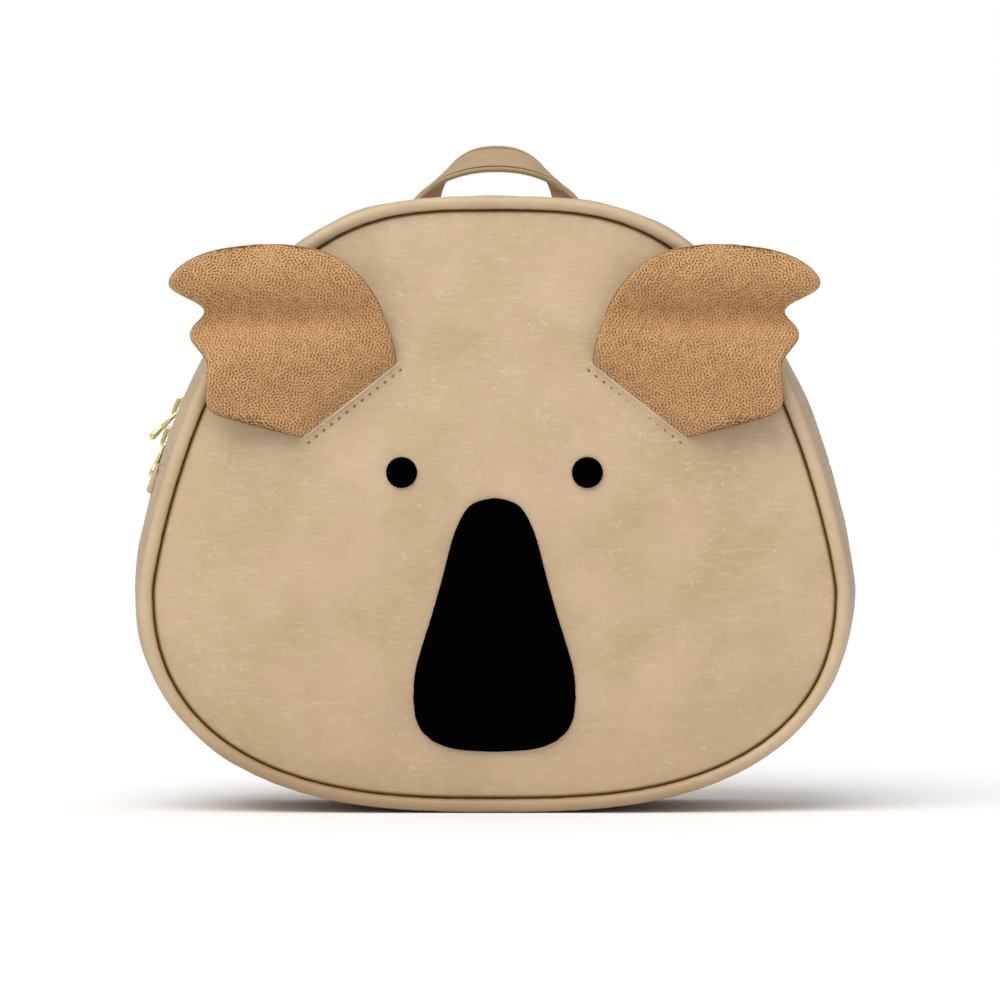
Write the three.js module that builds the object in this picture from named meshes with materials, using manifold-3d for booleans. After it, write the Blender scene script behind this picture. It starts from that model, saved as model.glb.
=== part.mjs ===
// Kids animal backpack, millimetres, +Z up, the face looking along -Y.
// The origin is the middle of the flat stretch of the base that the bag stands on.
import * as THREE from 'three';
import Module from 'manifold-3d';
import { mergeVertices } from 'three/addons/utils/BufferGeometryUtils.js';

// Gaps between pieces
const CLEARANCE = 0.3;
const PATCH_CLEARANCE = 0.45;

// Face panel and the bag's body
const FACE_WIDTH = 286.8;
const FACE_HEIGHT = 246.9;
const WIDEST_HEIGHT = 87.2;
const BAG_DEPTH = 90;
const LEATHER_WALL = 2;
const FACE_DOME = 9;
const BACK_DOME = 3;
const PIPING_DIAMETER = 5.6;

// Gusset, measured outwards from the piping's outer edge
const GUSSET_BULGE_BOTTOM = 2;
const GUSSET_BULGE_TOP = 2.2;
const GUSSET_BULGE_SIDE = 4.5;
const GUSSET_BULGE_ANGLE = 15;
const GUSSET_JOIN_HEIGHT = 143.4;

// Zip
const ZIP_SLOT = 12;
const TAPE_WIDTH = 8;
const TAPE_THICKNESS = 0.8;
const CHAIN_WIDTH = 5.6;
const CHAIN_THICKNESS = 2.4;
const SLIDER_LENGTH = 10.6;
const SLIDER_WIDTH = 9.6;
const SLIDER_PLATE = 1;
const SLIDER_NECK = 2.4;
const SLIDER_PITCH = 13.2;
const ZIP_END_TO_SLIDER = 11.2;
const BRIDGE_LENGTH = 9.6;
const BRIDGE_HEIGHT = 3;
const BRIDGE_BAR = 1.3;
const BRIDGE_WIDTH = 2.6;
const BRIDGE_CORNER = 0.8;
const PULLER_LENGTH = 16;
const PULLER_WIDTH = 5;
const PULLER_THICKNESS = 1.4;
const PULLER_END_SWELL = 0.7;
const PULLER_PIN = 1;
const PULLER_ARM_GAP = 0.4;
const PULLER_WINDOW = 4.6;
const PULLER_WAIST = 0.7;
const PULLER_SHOULDER = 2;

// Side tab
const TAB_LENGTH = 12.6;
const TAB_WIDTH = 15;
const TAB_FOOT_THICKNESS = 0.8;
const TAB_END_THICKNESS = 2;
const TAB_TAPER = 0.12;
const TAB_FROM_PULLER = 2;

// Ears, one side given and the other mirrored
const EAR_WIDTH = 93.2;
const EAR_HEIGHT = 81.5;
const EAR_INNER_FROM_CENTRE = 43;
const EAR_TOP_HEIGHT = 239.3;
const EAR_PLUSH = 3;
const EAR_BACKING = 1.2;
const EAR_LIFT = 11;
const EAR_LIFT_REACH = 22;
const EAR_FOLD = 5;
const EAR_FOLD_FROM = 4;
const EAR_FOLD_TO = 45;
const EAR_PANEL_DROP = 6;

// Face patches
const PATCH_THICKNESS = 1.2;
const EYE_DIAMETER = 13;
const EYE_SPACING = 77.7;
const EYE_HEIGHT = 142.9;
const NOSE_WIDTH = 68;
const NOSE_HEIGHT = 106.3;
const NOSE_TOP_HEIGHT = 132.2;

// Handle
const HANDLE_SPAN = 69.3;
const HANDLE_RISE = 35.9;
const HANDLE_FOOT = 13;
const HANDLE_WIDTH = 16;
const HANDLE_THICKNESS = 2.3;
const HANDLE_TILT = 40.3;
const HANDLE_SHIFT = 0.7;
const HANDLE_STANDOFF = 0.5;
const HANDLE_BELOW_SEAM = 6.5;

// Shoulder straps
const STRAP_TOP_SPACING = 78;
const STRAP_BELOW_HANDLE = 7.6;
const STRAP_FOOT_SPACING = 166;
const STRAP_FOOT_HEIGHT = 46;
const STRAP_BOW = 36;
const PAD_WIDTH = 32;
const PAD_THICKNESS = 7;
const PAD_SHARE = 0.62;
const WEB_WIDTH = 20;
const WEB_THICKNESS = 1.6;
const SLIDE_LENGTH = 15;
const SLIDE_WIDTH = 27;
const SLIDE_THICKNESS = 3;
const SLIDE_FRAME = 2.6;
const STRAP_FOOT_LENGTH = 24;
const STRAP_FOOT_WIDTH = 27;
const STRAP_FOOT_END_WIDTH = 17.5;

// Heights that follow from the sizes above
const SEAM_BOTTOM = PIPING_DIAMETER + 2 * CLEARANCE;
const WIDEST_Z = SEAM_BOTTOM + WIDEST_HEIGHT;
const SEAM_TOP = SEAM_BOTTOM + FACE_HEIGHT;
const HALF_DEPTH = BAG_DEPTH / 2;

// The face outline is two half superellipses that meet at the widest height.
const CURVE = {
  upper: { across: 3.16, up: 1.25, reach: FACE_HEIGHT - WIDEST_HEIGHT },
  lower: { across: 2.74, up: 2.31, reach: WIDEST_HEIGHT },
};

// Steps of the meshes
const RING_STEPS = 60;
const BAND_STEPS = 34;
const PIPING_SIDES = 8;

const MATERIALS = {
  leather: { color: 0xcbb189, roughness: 0.55, metalness: 0 },
  piping: { color: 0xc9ad84, roughness: 0.5, metalness: 0 },
  plush: { color: 0xb78b5f, roughness: 0.95, metalness: 0 },
  black: { color: 0x0a0908, roughness: 0.9, metalness: 0 },
  tape: { color: 0xb99c72, roughness: 0.85, metalness: 0 },
  gold: { color: 0xc8b560, roughness: 0.3, metalness: 1 },
  webbing: { color: 0xb0946a, roughness: 0.85, metalness: 0 },
};

const backpack = new THREE.Group();

// Adds one named piece.
function addPiece(name, geometry, finish, parent = backpack) {
  const mesh = new THREE.Mesh(geometry, new THREE.MeshStandardMaterial(MATERIALS[finish]));
  mesh.name = name;
  parent.add(mesh);
  return mesh;
}

// Turns a list of polygons into one closed geometry with shared corners and faces outwards.
function closedGeometry(polygons) {
  const corners = new Map();
  const positions = [];
  const index = [];
  const cornerOf = (p) => {
    const key = `${p.x.toFixed(4)},${p.y.toFixed(4)},${p.z.toFixed(4)}`;
    if (!corners.has(key)) {
      corners.set(key, corners.size);
      positions.push(p.x, p.y, p.z);
    }
    return corners.get(key);
  };
  for (const polygon of polygons) {
    const ring = polygon.map(cornerOf);
    for (let i = 2; i < ring.length; i++) {
      const [a, b, c] = [ring[0], ring[i - 1], ring[i]];
      if (a !== b && b !== c && a !== c) index.push(a, b, c);
    }
  }
  const at = (i) => new THREE.Vector3().fromArray(positions, 3 * i);
  let volume = 0;
  for (let i = 0; i < index.length; i += 3) {
    volume += at(index[i]).dot(at(index[i + 1]).cross(at(index[i + 2])));
  }
  if (volume < 0) index.reverse();
  const geometry = new THREE.BufferGeometry();
  geometry.setAttribute('position', new THREE.Float32BufferAttribute(positions, 3));
  geometry.setIndex(index);
  geometry.computeVertexNormals();
  return geometry;
}

// A wall between two grids of points. around: the rows close into a ring.
// pole: the first column is a single point, so it has no edge of its own.
function wallGeometry(outer, inner, { around = false, pole = false } = {}) {
  const rows = outer.length;
  const columns = outer[0].length;
  const polygons = [];
  const lastRow = around ? rows : rows - 1;
  for (let i = 0; i < lastRow; i++) {
    const k = (i + 1) % rows;
    for (let j = 0; j + 1 < columns; j++) {
      polygons.push([outer[i][j], outer[k][j], outer[k][j + 1], outer[i][j + 1]]);
      polygons.push([inner[i][j], inner[i][j + 1], inner[k][j + 1], inner[k][j]]);
    }
    const end = columns - 1;
    if (!pole) polygons.push([outer[i][0], inner[i][0], inner[k][0], outer[k][0]]);
    polygons.push([outer[i][end], outer[k][end], inner[k][end], inner[i][end]]);
  }
  if (!around) {
    const last = rows - 1;
    for (let j = 0; j + 1 < columns; j++) {
      polygons.push([outer[0][j], outer[0][j + 1], inner[0][j + 1], inner[0][j]]);
      polygons.push([outer[last][j], inner[last][j], inner[last][j + 1], outer[last][j + 1]]);
    }
  }
  return closedGeometry(polygons);
}

// A solid carried through a list of closed sections, with flat ends unless it closes into a ring.
function sweptGeometry(sections, around = false) {
  const polygons = [];
  const count = sections[0].length;
  const last = around ? sections.length : sections.length - 1;
  for (let i = 0; i < last; i++) {
    const k = (i + 1) % sections.length;
    for (let j = 0; j < count; j++) {
      const n = (j + 1) % count;
      polygons.push([sections[i][j], sections[k][j], sections[k][n], sections[i][n]]);
    }
  }
  if (!around) {
    polygons.push([...sections[0]]);
    polygons.push([...sections[sections.length - 1]].reverse());
  }
  return closedGeometry(polygons);
}

// Values from 0 to 1 in equal steps.
function shares(steps) {
  return Array.from({ length: steps + 1 }, (_, i) => i / steps);
}

// Distance from the middle of the widest height to the seam, in the direction (dx, dz).
function seamReach(dx, dz) {
  const half = dz >= 0 ? CURVE.upper : CURVE.lower;
  let near = 0;
  let far = FACE_WIDTH + FACE_HEIGHT;
  for (let i = 0; i < 50; i++) {
    const r = (near + far) / 2;
    const level = (Math.abs(r * dx) / (FACE_WIDTH / 2)) ** half.across
      + (Math.abs(r * dz) / half.reach) ** half.up;
    if (level > 1) far = r;
    else near = r;
  }
  return near;
}

// The outline as a fine closed line from the bottom centre, first to +X, with running lengths.
function traceOutline() {
  const line = [];
  const fine = 1440;
  for (let i = 0; i <= fine; i++) {
    const angle = -Math.PI / 2 + (2 * Math.PI * i) / fine;
    const [dx, dz] = [Math.cos(angle), Math.sin(angle)];
    const r = seamReach(dx, dz);
    line.push({ x: r * dx, z: WIDEST_Z + r * dz, run: 0 });
  }
  for (let i = 1; i <= fine; i++) {
    line[i].run = line[i - 1].run + Math.hypot(line[i].x - line[i - 1].x, line[i].z - line[i - 1].z);
  }
  return line;
}

const OUTLINE = traceOutline();
const OUTLINE_LENGTH = OUTLINE[OUTLINE.length - 1].run;

// Point of the outline at a running length, with its outward direction.
function outlineAt(run) {
  const wrapped = ((run % OUTLINE_LENGTH) + OUTLINE_LENGTH) % OUTLINE_LENGTH;
  let low = 0;
  let high = OUTLINE.length - 1;
  while (high - low > 1) {
    const middle = (low + high) >> 1;
    if (OUTLINE[middle].run > wrapped) high = middle;
    else low = middle;
  }
  const [a, b] = [OUTLINE[low], OUTLINE[high]];
  const share = (wrapped - a.run) / (b.run - a.run);
  const before = OUTLINE[(low + OUTLINE.length - 5) % (OUTLINE.length - 1)];
  const after = OUTLINE[(high + 4) % (OUTLINE.length - 1)];
  const along = new THREE.Vector2(after.x - before.x, after.z - before.z).normalize();
  return {
    x: THREE.MathUtils.lerp(a.x, b.x, share),
    z: THREE.MathUtils.lerp(a.z, b.z, share),
    out: new THREE.Vector2(along.y, -along.x),
  };
}

// Point at a distance outside the seam line and at a depth, kept above a floor level.
function seamPoint(run, outside, y, floor = 0) {
  const { x, z, out } = outlineAt(run);
  return new THREE.Vector3(x + out.x * outside, y, Math.max(z + out.y * outside, floor));
}

// Running length at which the right side passes a height.
function runAtHeight(height) {
  const i = OUTLINE.findIndex((p) => p.z > height && p.x > 0);
  const [a, b] = [OUTLINE[i - 1], OUTLINE[i]];
  return a.run + ((height - a.z) / (b.z - a.z)) * (b.run - a.run);
}

// Share of the way from the middle of the widest height to the seam.
function seamShare(x, z) {
  const distance = Math.hypot(x, z - WIDEST_Z);
  return distance < 1e-6 ? 0 : distance / seamReach(x / distance, (z - WIDEST_Z) / distance);
}

// Outer surface of the face and of the back panel.
const frontY = (x, z) => -HALF_DEPTH - FACE_DOME * (1 - seamShare(x, z) ** 3);
const backY = (x, z) => HALF_DEPTH + BACK_DOME * (1 - seamShare(x, z) ** 3);

// A domed panel from the middle of the widest height out to the seam.
function panelGeometry(rings, dome, side) {
  const grid = (inset) => shares(RING_STEPS).slice(0, -1).map((turn) => {
    const { x, z } = outlineAt(turn * OUTLINE_LENGTH);
    return rings.map((share) => new THREE.Vector3(
      x * share,
      side * (HALF_DEPTH + dome * (1 - share ** 3) - inset),
      WIDEST_Z + (z - WIDEST_Z) * share,
    ));
  });
  return wallGeometry(grid(0), grid(LEATHER_WALL), { around: true, pole: true });
}

addPiece('face_panel', panelGeometry([0, 0.4, 0.65, 0.82, 0.93, 1], FACE_DOME, -1), 'leather');
addPiece('back_panel', panelGeometry([0, 0.5, 0.8, 1], BACK_DOME, 1), 'leather');

// Round piping in the seam between a panel and the gusset.
function pipingGeometry(y) {
  const radius = PIPING_DIAMETER / 2;
  const sections = shares(RING_STEPS).slice(0, -1).map((turn) => {
    return shares(PIPING_SIDES).slice(0, -1).map((share) => {
      const angle = 2 * Math.PI * share;
      const outside = CLEARANCE + radius * (1 + Math.cos(angle));
      return seamPoint(turn * OUTLINE_LENGTH, outside, y + radius * Math.sin(angle));
    });
  });
  return sweptGeometry(sections, true);
}

addPiece('face_piping', pipingGeometry(-HALF_DEPTH), 'piping');
addPiece('back_piping', pipingGeometry(HALF_DEPTH), 'piping');

// Gusset. Its edges lie behind the piping, and between them it swells out to a crest.
const GUSSET_EDGE_Y = HALF_DEPTH - PIPING_DIAMETER / 2 - CLEARANCE;
const GUSSET_EDGE_OUT = CLEARANCE + PIPING_DIAMETER / 2;
const GUSSET_SWELL = { depthPower: 2.2, risePower: 0.75, sidePower: 4, middle: 0.473 };
const BULGE_CENTRE_Z = SEAM_BOTTOM + FACE_HEIGHT * GUSSET_SWELL.middle;
const BULGE_SIDE_ANGLE = THREE.MathUtils.degToRad(GUSSET_BULGE_ANGLE);

// How far outside the seam the crest lies, from the direction of the place round the bag.
function crestOut(run) {
  const { x, z } = outlineAt(run);
  const angle = Math.atan2(z - BULGE_CENTRE_Z, Math.abs(x));
  const rise = (1 + Math.sin(angle)) / 2;
  const side = Math.max(Math.cos(angle - BULGE_SIDE_ANGLE), 0) ** GUSSET_SWELL.sidePower;
  return CLEARANCE + PIPING_DIAMETER + GUSSET_BULGE_SIDE * side
    + THREE.MathUtils.lerp(GUSSET_BULGE_BOTTOM, GUSSET_BULGE_TOP, rise);
}

// Outer surface of the gusset, as a distance outside the seam.
function gussetOut(run, y) {
  const share = Math.min(Math.abs(y) / GUSSET_EDGE_Y, 1);
  const swell = (1 - share ** GUSSET_SWELL.depthPower) ** GUSSET_SWELL.risePower;
  return THREE.MathUtils.lerp(GUSSET_EDGE_OUT, crestOut(run), swell);
}

// A stretch of the gusset between two running lengths, through the given depths.
function gussetGeometry(from, to, depths, steps) {
  const grid = (inset) => shares(steps).map((share) => {
    const run = THREE.MathUtils.lerp(from, to, share);
    return depths.map((y) => seamPoint(run, gussetOut(run, y) - inset, y, inset));
  });
  return wallGeometry(grid(0), grid(LEATHER_WALL));
}

const JOIN_RUN = runAtHeight(GUSSET_JOIN_HEIGHT);
const ZIP_FROM = JOIN_RUN;
const ZIP_TO = OUTLINE_LENGTH - JOIN_RUN;
const SLOT_EDGE = ZIP_SLOT / 2;
const BAND_SHARES = [0, 0.07, 0.26, 0.58, 1];
const bandDepths = BAND_SHARES.map((s) => THREE.MathUtils.lerp(-GUSSET_EDGE_Y, -SLOT_EDGE, s));
const lowerDepths = [...bandDepths, 0, ...bandDepths.map((y) => -y).reverse()]
  .filter((y) => Math.abs(Math.abs(y) - SLOT_EDGE) > 1e-6);

addPiece('gusset_lower', gussetGeometry(
  CLEARANCE - JOIN_RUN,
  JOIN_RUN - CLEARANCE,
  lowerDepths,
  BAND_STEPS,
), 'leather');
addPiece('gusset_zip_front', gussetGeometry(ZIP_FROM, ZIP_TO, bandDepths, BAND_STEPS), 'leather');
const rearDepths = bandDepths.map((y) => -y).reverse();
addPiece('gusset_zip_rear', gussetGeometry(ZIP_FROM, ZIP_TO, rearDepths, BAND_STEPS), 'leather');

// Zip tapes lie under the strips, and their inner edges stop at the chain.
const CHAIN_EDGE = CHAIN_WIDTH / 2 + CLEARANCE;
const TAPE_EDGE = CHAIN_EDGE + TAPE_WIDTH;
const tapeTop = (run) => gussetOut(run, TAPE_EDGE) - LEATHER_WALL - CLEARANCE;
const chainMiddle = (run) => tapeTop(run) - TAPE_THICKNESS / 2;
const chainTop = (run) => chainMiddle(run) + CHAIN_THICKNESS / 2;

// A flat band that runs along the zip, between two depths and two heights over the seam.
function zipBand(from, to, yLow, yHigh, top, thickness, steps) {
  const grid = (inset) => shares(steps).map((share) => {
    const run = THREE.MathUtils.lerp(from, to, share);
    return [yLow, yHigh].map((y) => seamPoint(run, top(run) - inset, y));
  });
  return wallGeometry(grid(0), grid(thickness));
}

addPiece('zip_tape_front', zipBand(
  ZIP_FROM, ZIP_TO, -TAPE_EDGE, -CHAIN_EDGE, tapeTop, TAPE_THICKNESS, BAND_STEPS,
), 'tape');
addPiece('zip_tape_rear', zipBand(
  ZIP_FROM, ZIP_TO, CHAIN_EDGE, TAPE_EDGE, tapeTop, TAPE_THICKNESS, BAND_STEPS,
), 'tape');

// Running lengths of the sliders' middles. Both stand near the left end of the zip, on -X.
const LOWER_RUN = ZIP_TO - ZIP_END_TO_SLIDER;
const UPPER_RUN = LOWER_RUN - SLIDER_PITCH;
const SLIDER_ROOM = SLIDER_LENGTH / 2 + CLEARANCE;
addPiece('zip_chain', zipBand(
  ZIP_FROM, UPPER_RUN - SLIDER_ROOM, -CHAIN_WIDTH / 2, CHAIN_WIDTH / 2, chainTop,
  CHAIN_THICKNESS, BAND_STEPS,
), 'gold');
addPiece('zip_chain_end', zipBand(
  LOWER_RUN + SLIDER_ROOM, ZIP_TO, -CHAIN_WIDTH / 2, CHAIN_WIDTH / 2, chainTop,
  CHAIN_THICKNESS, 2,
), 'gold');

// A group on the zip line. Its x runs down the zip, its y points out of the bag and its z is +Y.
function zipFrame(run, outside) {
  const step = 0.5;
  const before = seamPoint(run - step, outside(run - step), 0);
  const after = seamPoint(run + step, outside(run + step), 0);
  const along = after.clone().sub(before).normalize();
  const up = new THREE.Vector3(0, 1, 0).cross(along).normalize();
  const frame = new THREE.Group();
  frame.position.copy(seamPoint(run, outside(run), 0));
  frame.quaternion.setFromRotationMatrix(
    new THREE.Matrix4().makeBasis(along, up, new THREE.Vector3(0, 1, 0)),
  );
  backpack.add(frame);
  return frame;
}

const wasm = await Module();
wasm.setup();

// Joins overlapping closed geometries into one.
function unite(geometries) {
  const solids = geometries.map((geometry) => {
    geometry.deleteAttribute('normal');
    geometry.deleteAttribute('uv');
    const merged = mergeVertices(geometry, 1e-4);
    return new wasm.Manifold(new wasm.Mesh({
      numProp: 3,
      vertProperties: new Float32Array(merged.attributes.position.array),
      triVerts: new Uint32Array(merged.index.array),
    }));
  });
  const mesh = solids.reduce((sum, solid) => sum.add(solid)).getMesh();
  const geometry = new THREE.BufferGeometry();
  geometry.setAttribute('position', new THREE.BufferAttribute(mesh.vertProperties, 3));
  geometry.setIndex(new THREE.BufferAttribute(mesh.triVerts, 1));
  geometry.computeVertexNormals();
  return geometry;
}

// A closed line of points as a shape.
function shapeOf(points) {
  return new THREE.Shape(points.map(([x, y]) => new THREE.Vector2(x, y)));
}

// A flat shape made as thick as given, middled on its own plane.
function plateGeometry(shape, thickness, holes = []) {
  shape.holes.push(...holes);
  const geometry = new THREE.ExtrudeGeometry(shape, {
    depth: thickness, bevelEnabled: false, curveSegments: 4,
  });
  return geometry.translate(0, 0, -thickness / 2);
}

// Slider body: two plates joined by a neck, with a bridge on the outer plate.
// Its y is measured from the outer plate's face.
const PLATE_GAP = CHAIN_THICKNESS + 2 * CLEARANCE;
const BRIDGE_REACH = BRIDGE_LENGTH / 2;
const PIN_CORNER = PULLER_PIN * Math.SQRT1_2;
const PIN_ALONG = BRIDGE_REACH - BRIDGE_BAR - CLEARANCE / 2 - PIN_CORNER;
const PIN_HEIGHT = (BRIDGE_HEIGHT - BRIDGE_BAR) / 2;

// Outline of a slider plate and of its neck, as shares of half the slider's length and width.
const PLATE_SHAPE = { shoulder: 0.4, noseWidth: 0.62, neckMiddle: 0.45, neckLength: 0.8 };

function sliderGeometry() {
  const half = SLIDER_LENGTH / 2;
  const side = SLIDER_WIDTH / 2;
  const shoulder = half * PLATE_SHAPE.shoulder;
  const nose = side * PLATE_SHAPE.noseWidth;
  const plate = shapeOf([
    [-half, -side], [shoulder, -side], [half, -nose], [half, nose], [shoulder, side], [-half, side],
  ]);
  const layer = (y) => plateGeometry(plate.clone(), SLIDER_PLATE)
    .rotateX(Math.PI / 2).translate(0, y - SLIDER_PLATE / 2, 0);
  const neckHeight = PLATE_GAP + SLIDER_PLATE;
  const neck = new THREE.BoxGeometry(half * PLATE_SHAPE.neckLength, neckHeight, SLIDER_NECK)
    .translate(half * PLATE_SHAPE.neckMiddle, -SLIDER_PLATE / 2 - neckHeight / 2, 0);
  const inner = BRIDGE_REACH - BRIDGE_BAR;
  const crownZ = BRIDGE_HEIGHT - BRIDGE_CORNER;
  const bridge = plateGeometry(shapeOf([
    [-BRIDGE_REACH, -SLIDER_PLATE / 2], [-inner, -SLIDER_PLATE / 2],
    [-inner, BRIDGE_HEIGHT - BRIDGE_BAR], [inner, BRIDGE_HEIGHT - BRIDGE_BAR],
    [inner, -SLIDER_PLATE / 2], [BRIDGE_REACH, -SLIDER_PLATE / 2],
    [BRIDGE_REACH, crownZ], [BRIDGE_REACH - BRIDGE_CORNER, BRIDGE_HEIGHT],
    [BRIDGE_CORNER - BRIDGE_REACH, BRIDGE_HEIGHT], [-BRIDGE_REACH, crownZ],
  ]), BRIDGE_WIDTH);
  return unite([layer(0), layer(-SLIDER_PLATE - PLATE_GAP), neck, bridge]);
}

// Puller: a pin bar, two arms round the bridge and a tongue that swells towards its round end.
function pullerGeometry() {
  const arm = BRIDGE_WIDTH / 2 + PULLER_ARM_GAP;
  const side = PULLER_WIDTH / 2;
  const waist = side * PULLER_WAIST;
  const waistAt = PULLER_WINDOW + PULLER_SHOULDER;
  const tip = PULLER_LENGTH - side;
  const outline = shapeOf([
    [-PULLER_PIN / 2, -side], [PULLER_WINDOW, -side], [waistAt, -waist], [tip, -side],
  ]);
  outline.absarc(tip, 0, side, -Math.PI / 2, Math.PI / 2, false);
  outline.lineTo(waistAt, waist);
  outline.lineTo(PULLER_WINDOW, side);
  outline.lineTo(-PULLER_PIN / 2, side);
  const hole = new THREE.Path([
    [PULLER_PIN / 2, -arm], [PULLER_PIN / 2, arm], [PULLER_WINDOW, arm], [PULLER_WINDOW, -arm],
  ].map(([x, y]) => new THREE.Vector2(x, y)));
  const geometry = plateGeometry(outline, 1, [hole]).rotateX(Math.PI / 2);
  const position = geometry.attributes.position;
  for (let i = 0; i < position.count; i++) {
    const reach = THREE.MathUtils.clamp(position.getX(i) / PULLER_LENGTH, 0, 1);
    const thick = position.getX(i) < PULLER_PIN ? PULLER_PIN : PULLER_THICKNESS;
    position.setY(i, position.getY(i) * (thick + 2 * PULLER_END_SWELL * reach ** 2));
  }
  return geometry;
}

// Half the puller's thickness at a distance from its pin.
function halfThickness(distance) {
  const reach = THREE.MathUtils.clamp(distance / PULLER_LENGTH, 0, 1);
  return PULLER_THICKNESS / 2 + PULLER_END_SWELL * reach ** 2;
}

// Angle off the zip at which a puller comes to rest on the points that lie in its way.
function restAngle(frame, points) {
  frame.updateMatrixWorld(true);
  const angles = points.map((point) => {
    const { x, y } = frame.worldToLocal(point.clone());
    const distance = Math.hypot(x - PIN_ALONG, y - PIN_HEIGHT);
    if (distance > PULLER_LENGTH) return 0;
    return Math.atan2(y - PIN_HEIGHT, x - PIN_ALONG)
      + Math.asin((halfThickness(distance) + CLEARANCE) / distance);
  });
  return Math.max(...angles);
}

const outerPlate = (run) => chainTop(run) + CLEARANCE + SLIDER_PLATE;
const upperFrame = zipFrame(UPPER_RUN, outerPlate);
const lowerFrame = zipFrame(LOWER_RUN, outerPlate);

// The upper puller rests on the lower slider's bridge, and the lower puller on the gusset.
lowerFrame.updateMatrixWorld(true);
const bridgeCrown = [-1, 1].map((end) => lowerFrame.localToWorld(
  new THREE.Vector3(end * (BRIDGE_REACH - BRIDGE_CORNER), BRIDGE_HEIGHT, 0),
));
const gussetCrest = shares(20).map((share) => {
  const run = ZIP_TO + share * PULLER_LENGTH;
  return seamPoint(run, gussetOut(run, 0), 0);
});
for (const { name, frame, points } of [
  { name: 'upper', frame: upperFrame, points: bridgeCrown },
  { name: 'lower', frame: lowerFrame, points: gussetCrest },
]) {
  addPiece(`zip_slider_${name}`, sliderGeometry(), 'gold', frame);
  const puller = addPiece(`zip_puller_${name}`, pullerGeometry(), 'gold', frame);
  puller.position.set(PIN_ALONG, PIN_HEIGHT, 0);
  puller.rotation.z = restAngle(frame, points);
}

// Side tab: a short leather tongue from the left join, over the front half of the lower gusset.
function tabGeometry() {
  const yMiddle = -(PULLER_WIDTH / 2 + TAB_FROM_PULLER + TAB_WIDTH / 2);
  const grid = (foot, end) => shares(3).map((share) => {
    const run = ZIP_TO + CLEARANCE + TAB_LENGTH * share;
    const raise = CLEARANCE + THREE.MathUtils.lerp(foot, end, share);
    return [-TAB_WIDTH / 2, 0, TAB_WIDTH / 2].map((y) => {
      const depth = yMiddle + y * (1 - TAB_TAPER * share);
      return seamPoint(run, gussetOut(run, depth) + raise, depth);
    });
  });
  return wallGeometry(grid(TAB_FOOT_THICKNESS, TAB_END_THICKNESS), grid(0, 0));
}
addPiece('side_tab', tabGeometry(), 'leather');

// Ear outline, from its top down. down and the two sides are shares of the ear's height and
// width, the sides counted from its inner corner. relief is a share of the fold's depth.
const EAR_ROWS = [
  { down: 0.0, inner: 0.5, outer: 0.61, relief: 0.2 },
  { down: 0.026, inner: 0.42, outer: 0.77, relief: 0.4 },
  { down: 0.057, inner: 0.32, outer: 0.865, relief: 0.6 },
  { down: 0.103, inner: 0.24, outer: 0.935, relief: 0.85 },
  { down: 0.165, inner: 0.18, outer: 0.982, relief: 1.0 },
  { down: 0.227, inner: 0.13, outer: 1.0, relief: 0.7 },
  { down: 0.273, inner: 0.1, outer: 0.955, relief: 0.15 },
  { down: 0.32, inner: 0.085, outer: 0.878, relief: -0.6 },
  { down: 0.35, inner: 0.07, outer: 0.842, relief: -1.0 },
  { down: 0.387, inner: 0.058, outer: 0.888, relief: -0.9 },
  { down: 0.428, inner: 0.04, outer: 0.91, relief: -0.45 },
  { down: 0.474, inner: 0.02, outer: 0.92, relief: 0.1 },
  { down: 0.526, inner: 0.006, outer: 0.91, relief: 0.55 },
  { down: 0.588, inner: 0.0, outer: 0.845, relief: 0.9 },
  { down: 0.613, inner: 0.0, outer: 0.833, relief: 1.0 },
  { down: 0.732, inner: 0.123, outer: 0.829, relief: 0.8 },
  { down: 0.85, inner: 0.244, outer: 0.812, relief: 0.3 },
  { down: 0.902, inner: 0.3, outer: 0.74, relief: 0.1 },
  { down: 0.95, inner: 0.35, outer: 0.58, relief: 0.0 },
  { down: 1.0, inner: 0.395, outer: 0.405, relief: 0.0 },
];
const EAR_BASE_ROWS = [
  { down: 0.613, across: 0 },
  { down: 1.0, across: 0.4 },
];
const EAR_COLUMNS = 5;

// Distance of a place on the ear from its sewn line, in millimetres.
function fromSewnLine(down, across) {
  const [a, b] = EAR_BASE_ROWS.map((row) => new THREE.Vector2(
    row.across * EAR_WIDTH,
    row.down * EAR_HEIGHT,
  ));
  const along = b.clone().sub(a).normalize();
  const offset = new THREE.Vector2(across * EAR_WIDTH, down * EAR_HEIGHT).sub(a);
  return Math.max(along.y * offset.x - along.x * offset.y, 0);
}

// Depth of the ear's back surface: it leaves the panel at the sewn line and waves further out.
function earY(x, z, down, across, relief) {
  const away = fromSewnLine(down, across);
  const free = 1 - Math.exp(-away / EAR_LIFT_REACH);
  const panel = Math.min(frontY(x, z), -HALF_DEPTH + EAR_PANEL_DROP);
  return panel - PATCH_CLEARANCE - EAR_LIFT * free
    - EAR_FOLD * relief * THREE.MathUtils.smoothstep(away, EAR_FOLD_FROM, EAR_FOLD_TO);
}

function earGeometry(side, low, high) {
  const grid = (raise) => EAR_ROWS.map((row) => shares(EAR_COLUMNS).map((share) => {
    const across = THREE.MathUtils.lerp(row.inner, row.outer, share);
    const x = side * (EAR_INNER_FROM_CENTRE + EAR_WIDTH * across);
    const z = EAR_TOP_HEIGHT - EAR_HEIGHT * row.down;
    return new THREE.Vector3(x, earY(x, z, row.down, across, row.relief) - raise, z);
  }));
  return wallGeometry(grid(high), grid(low));
}

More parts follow.
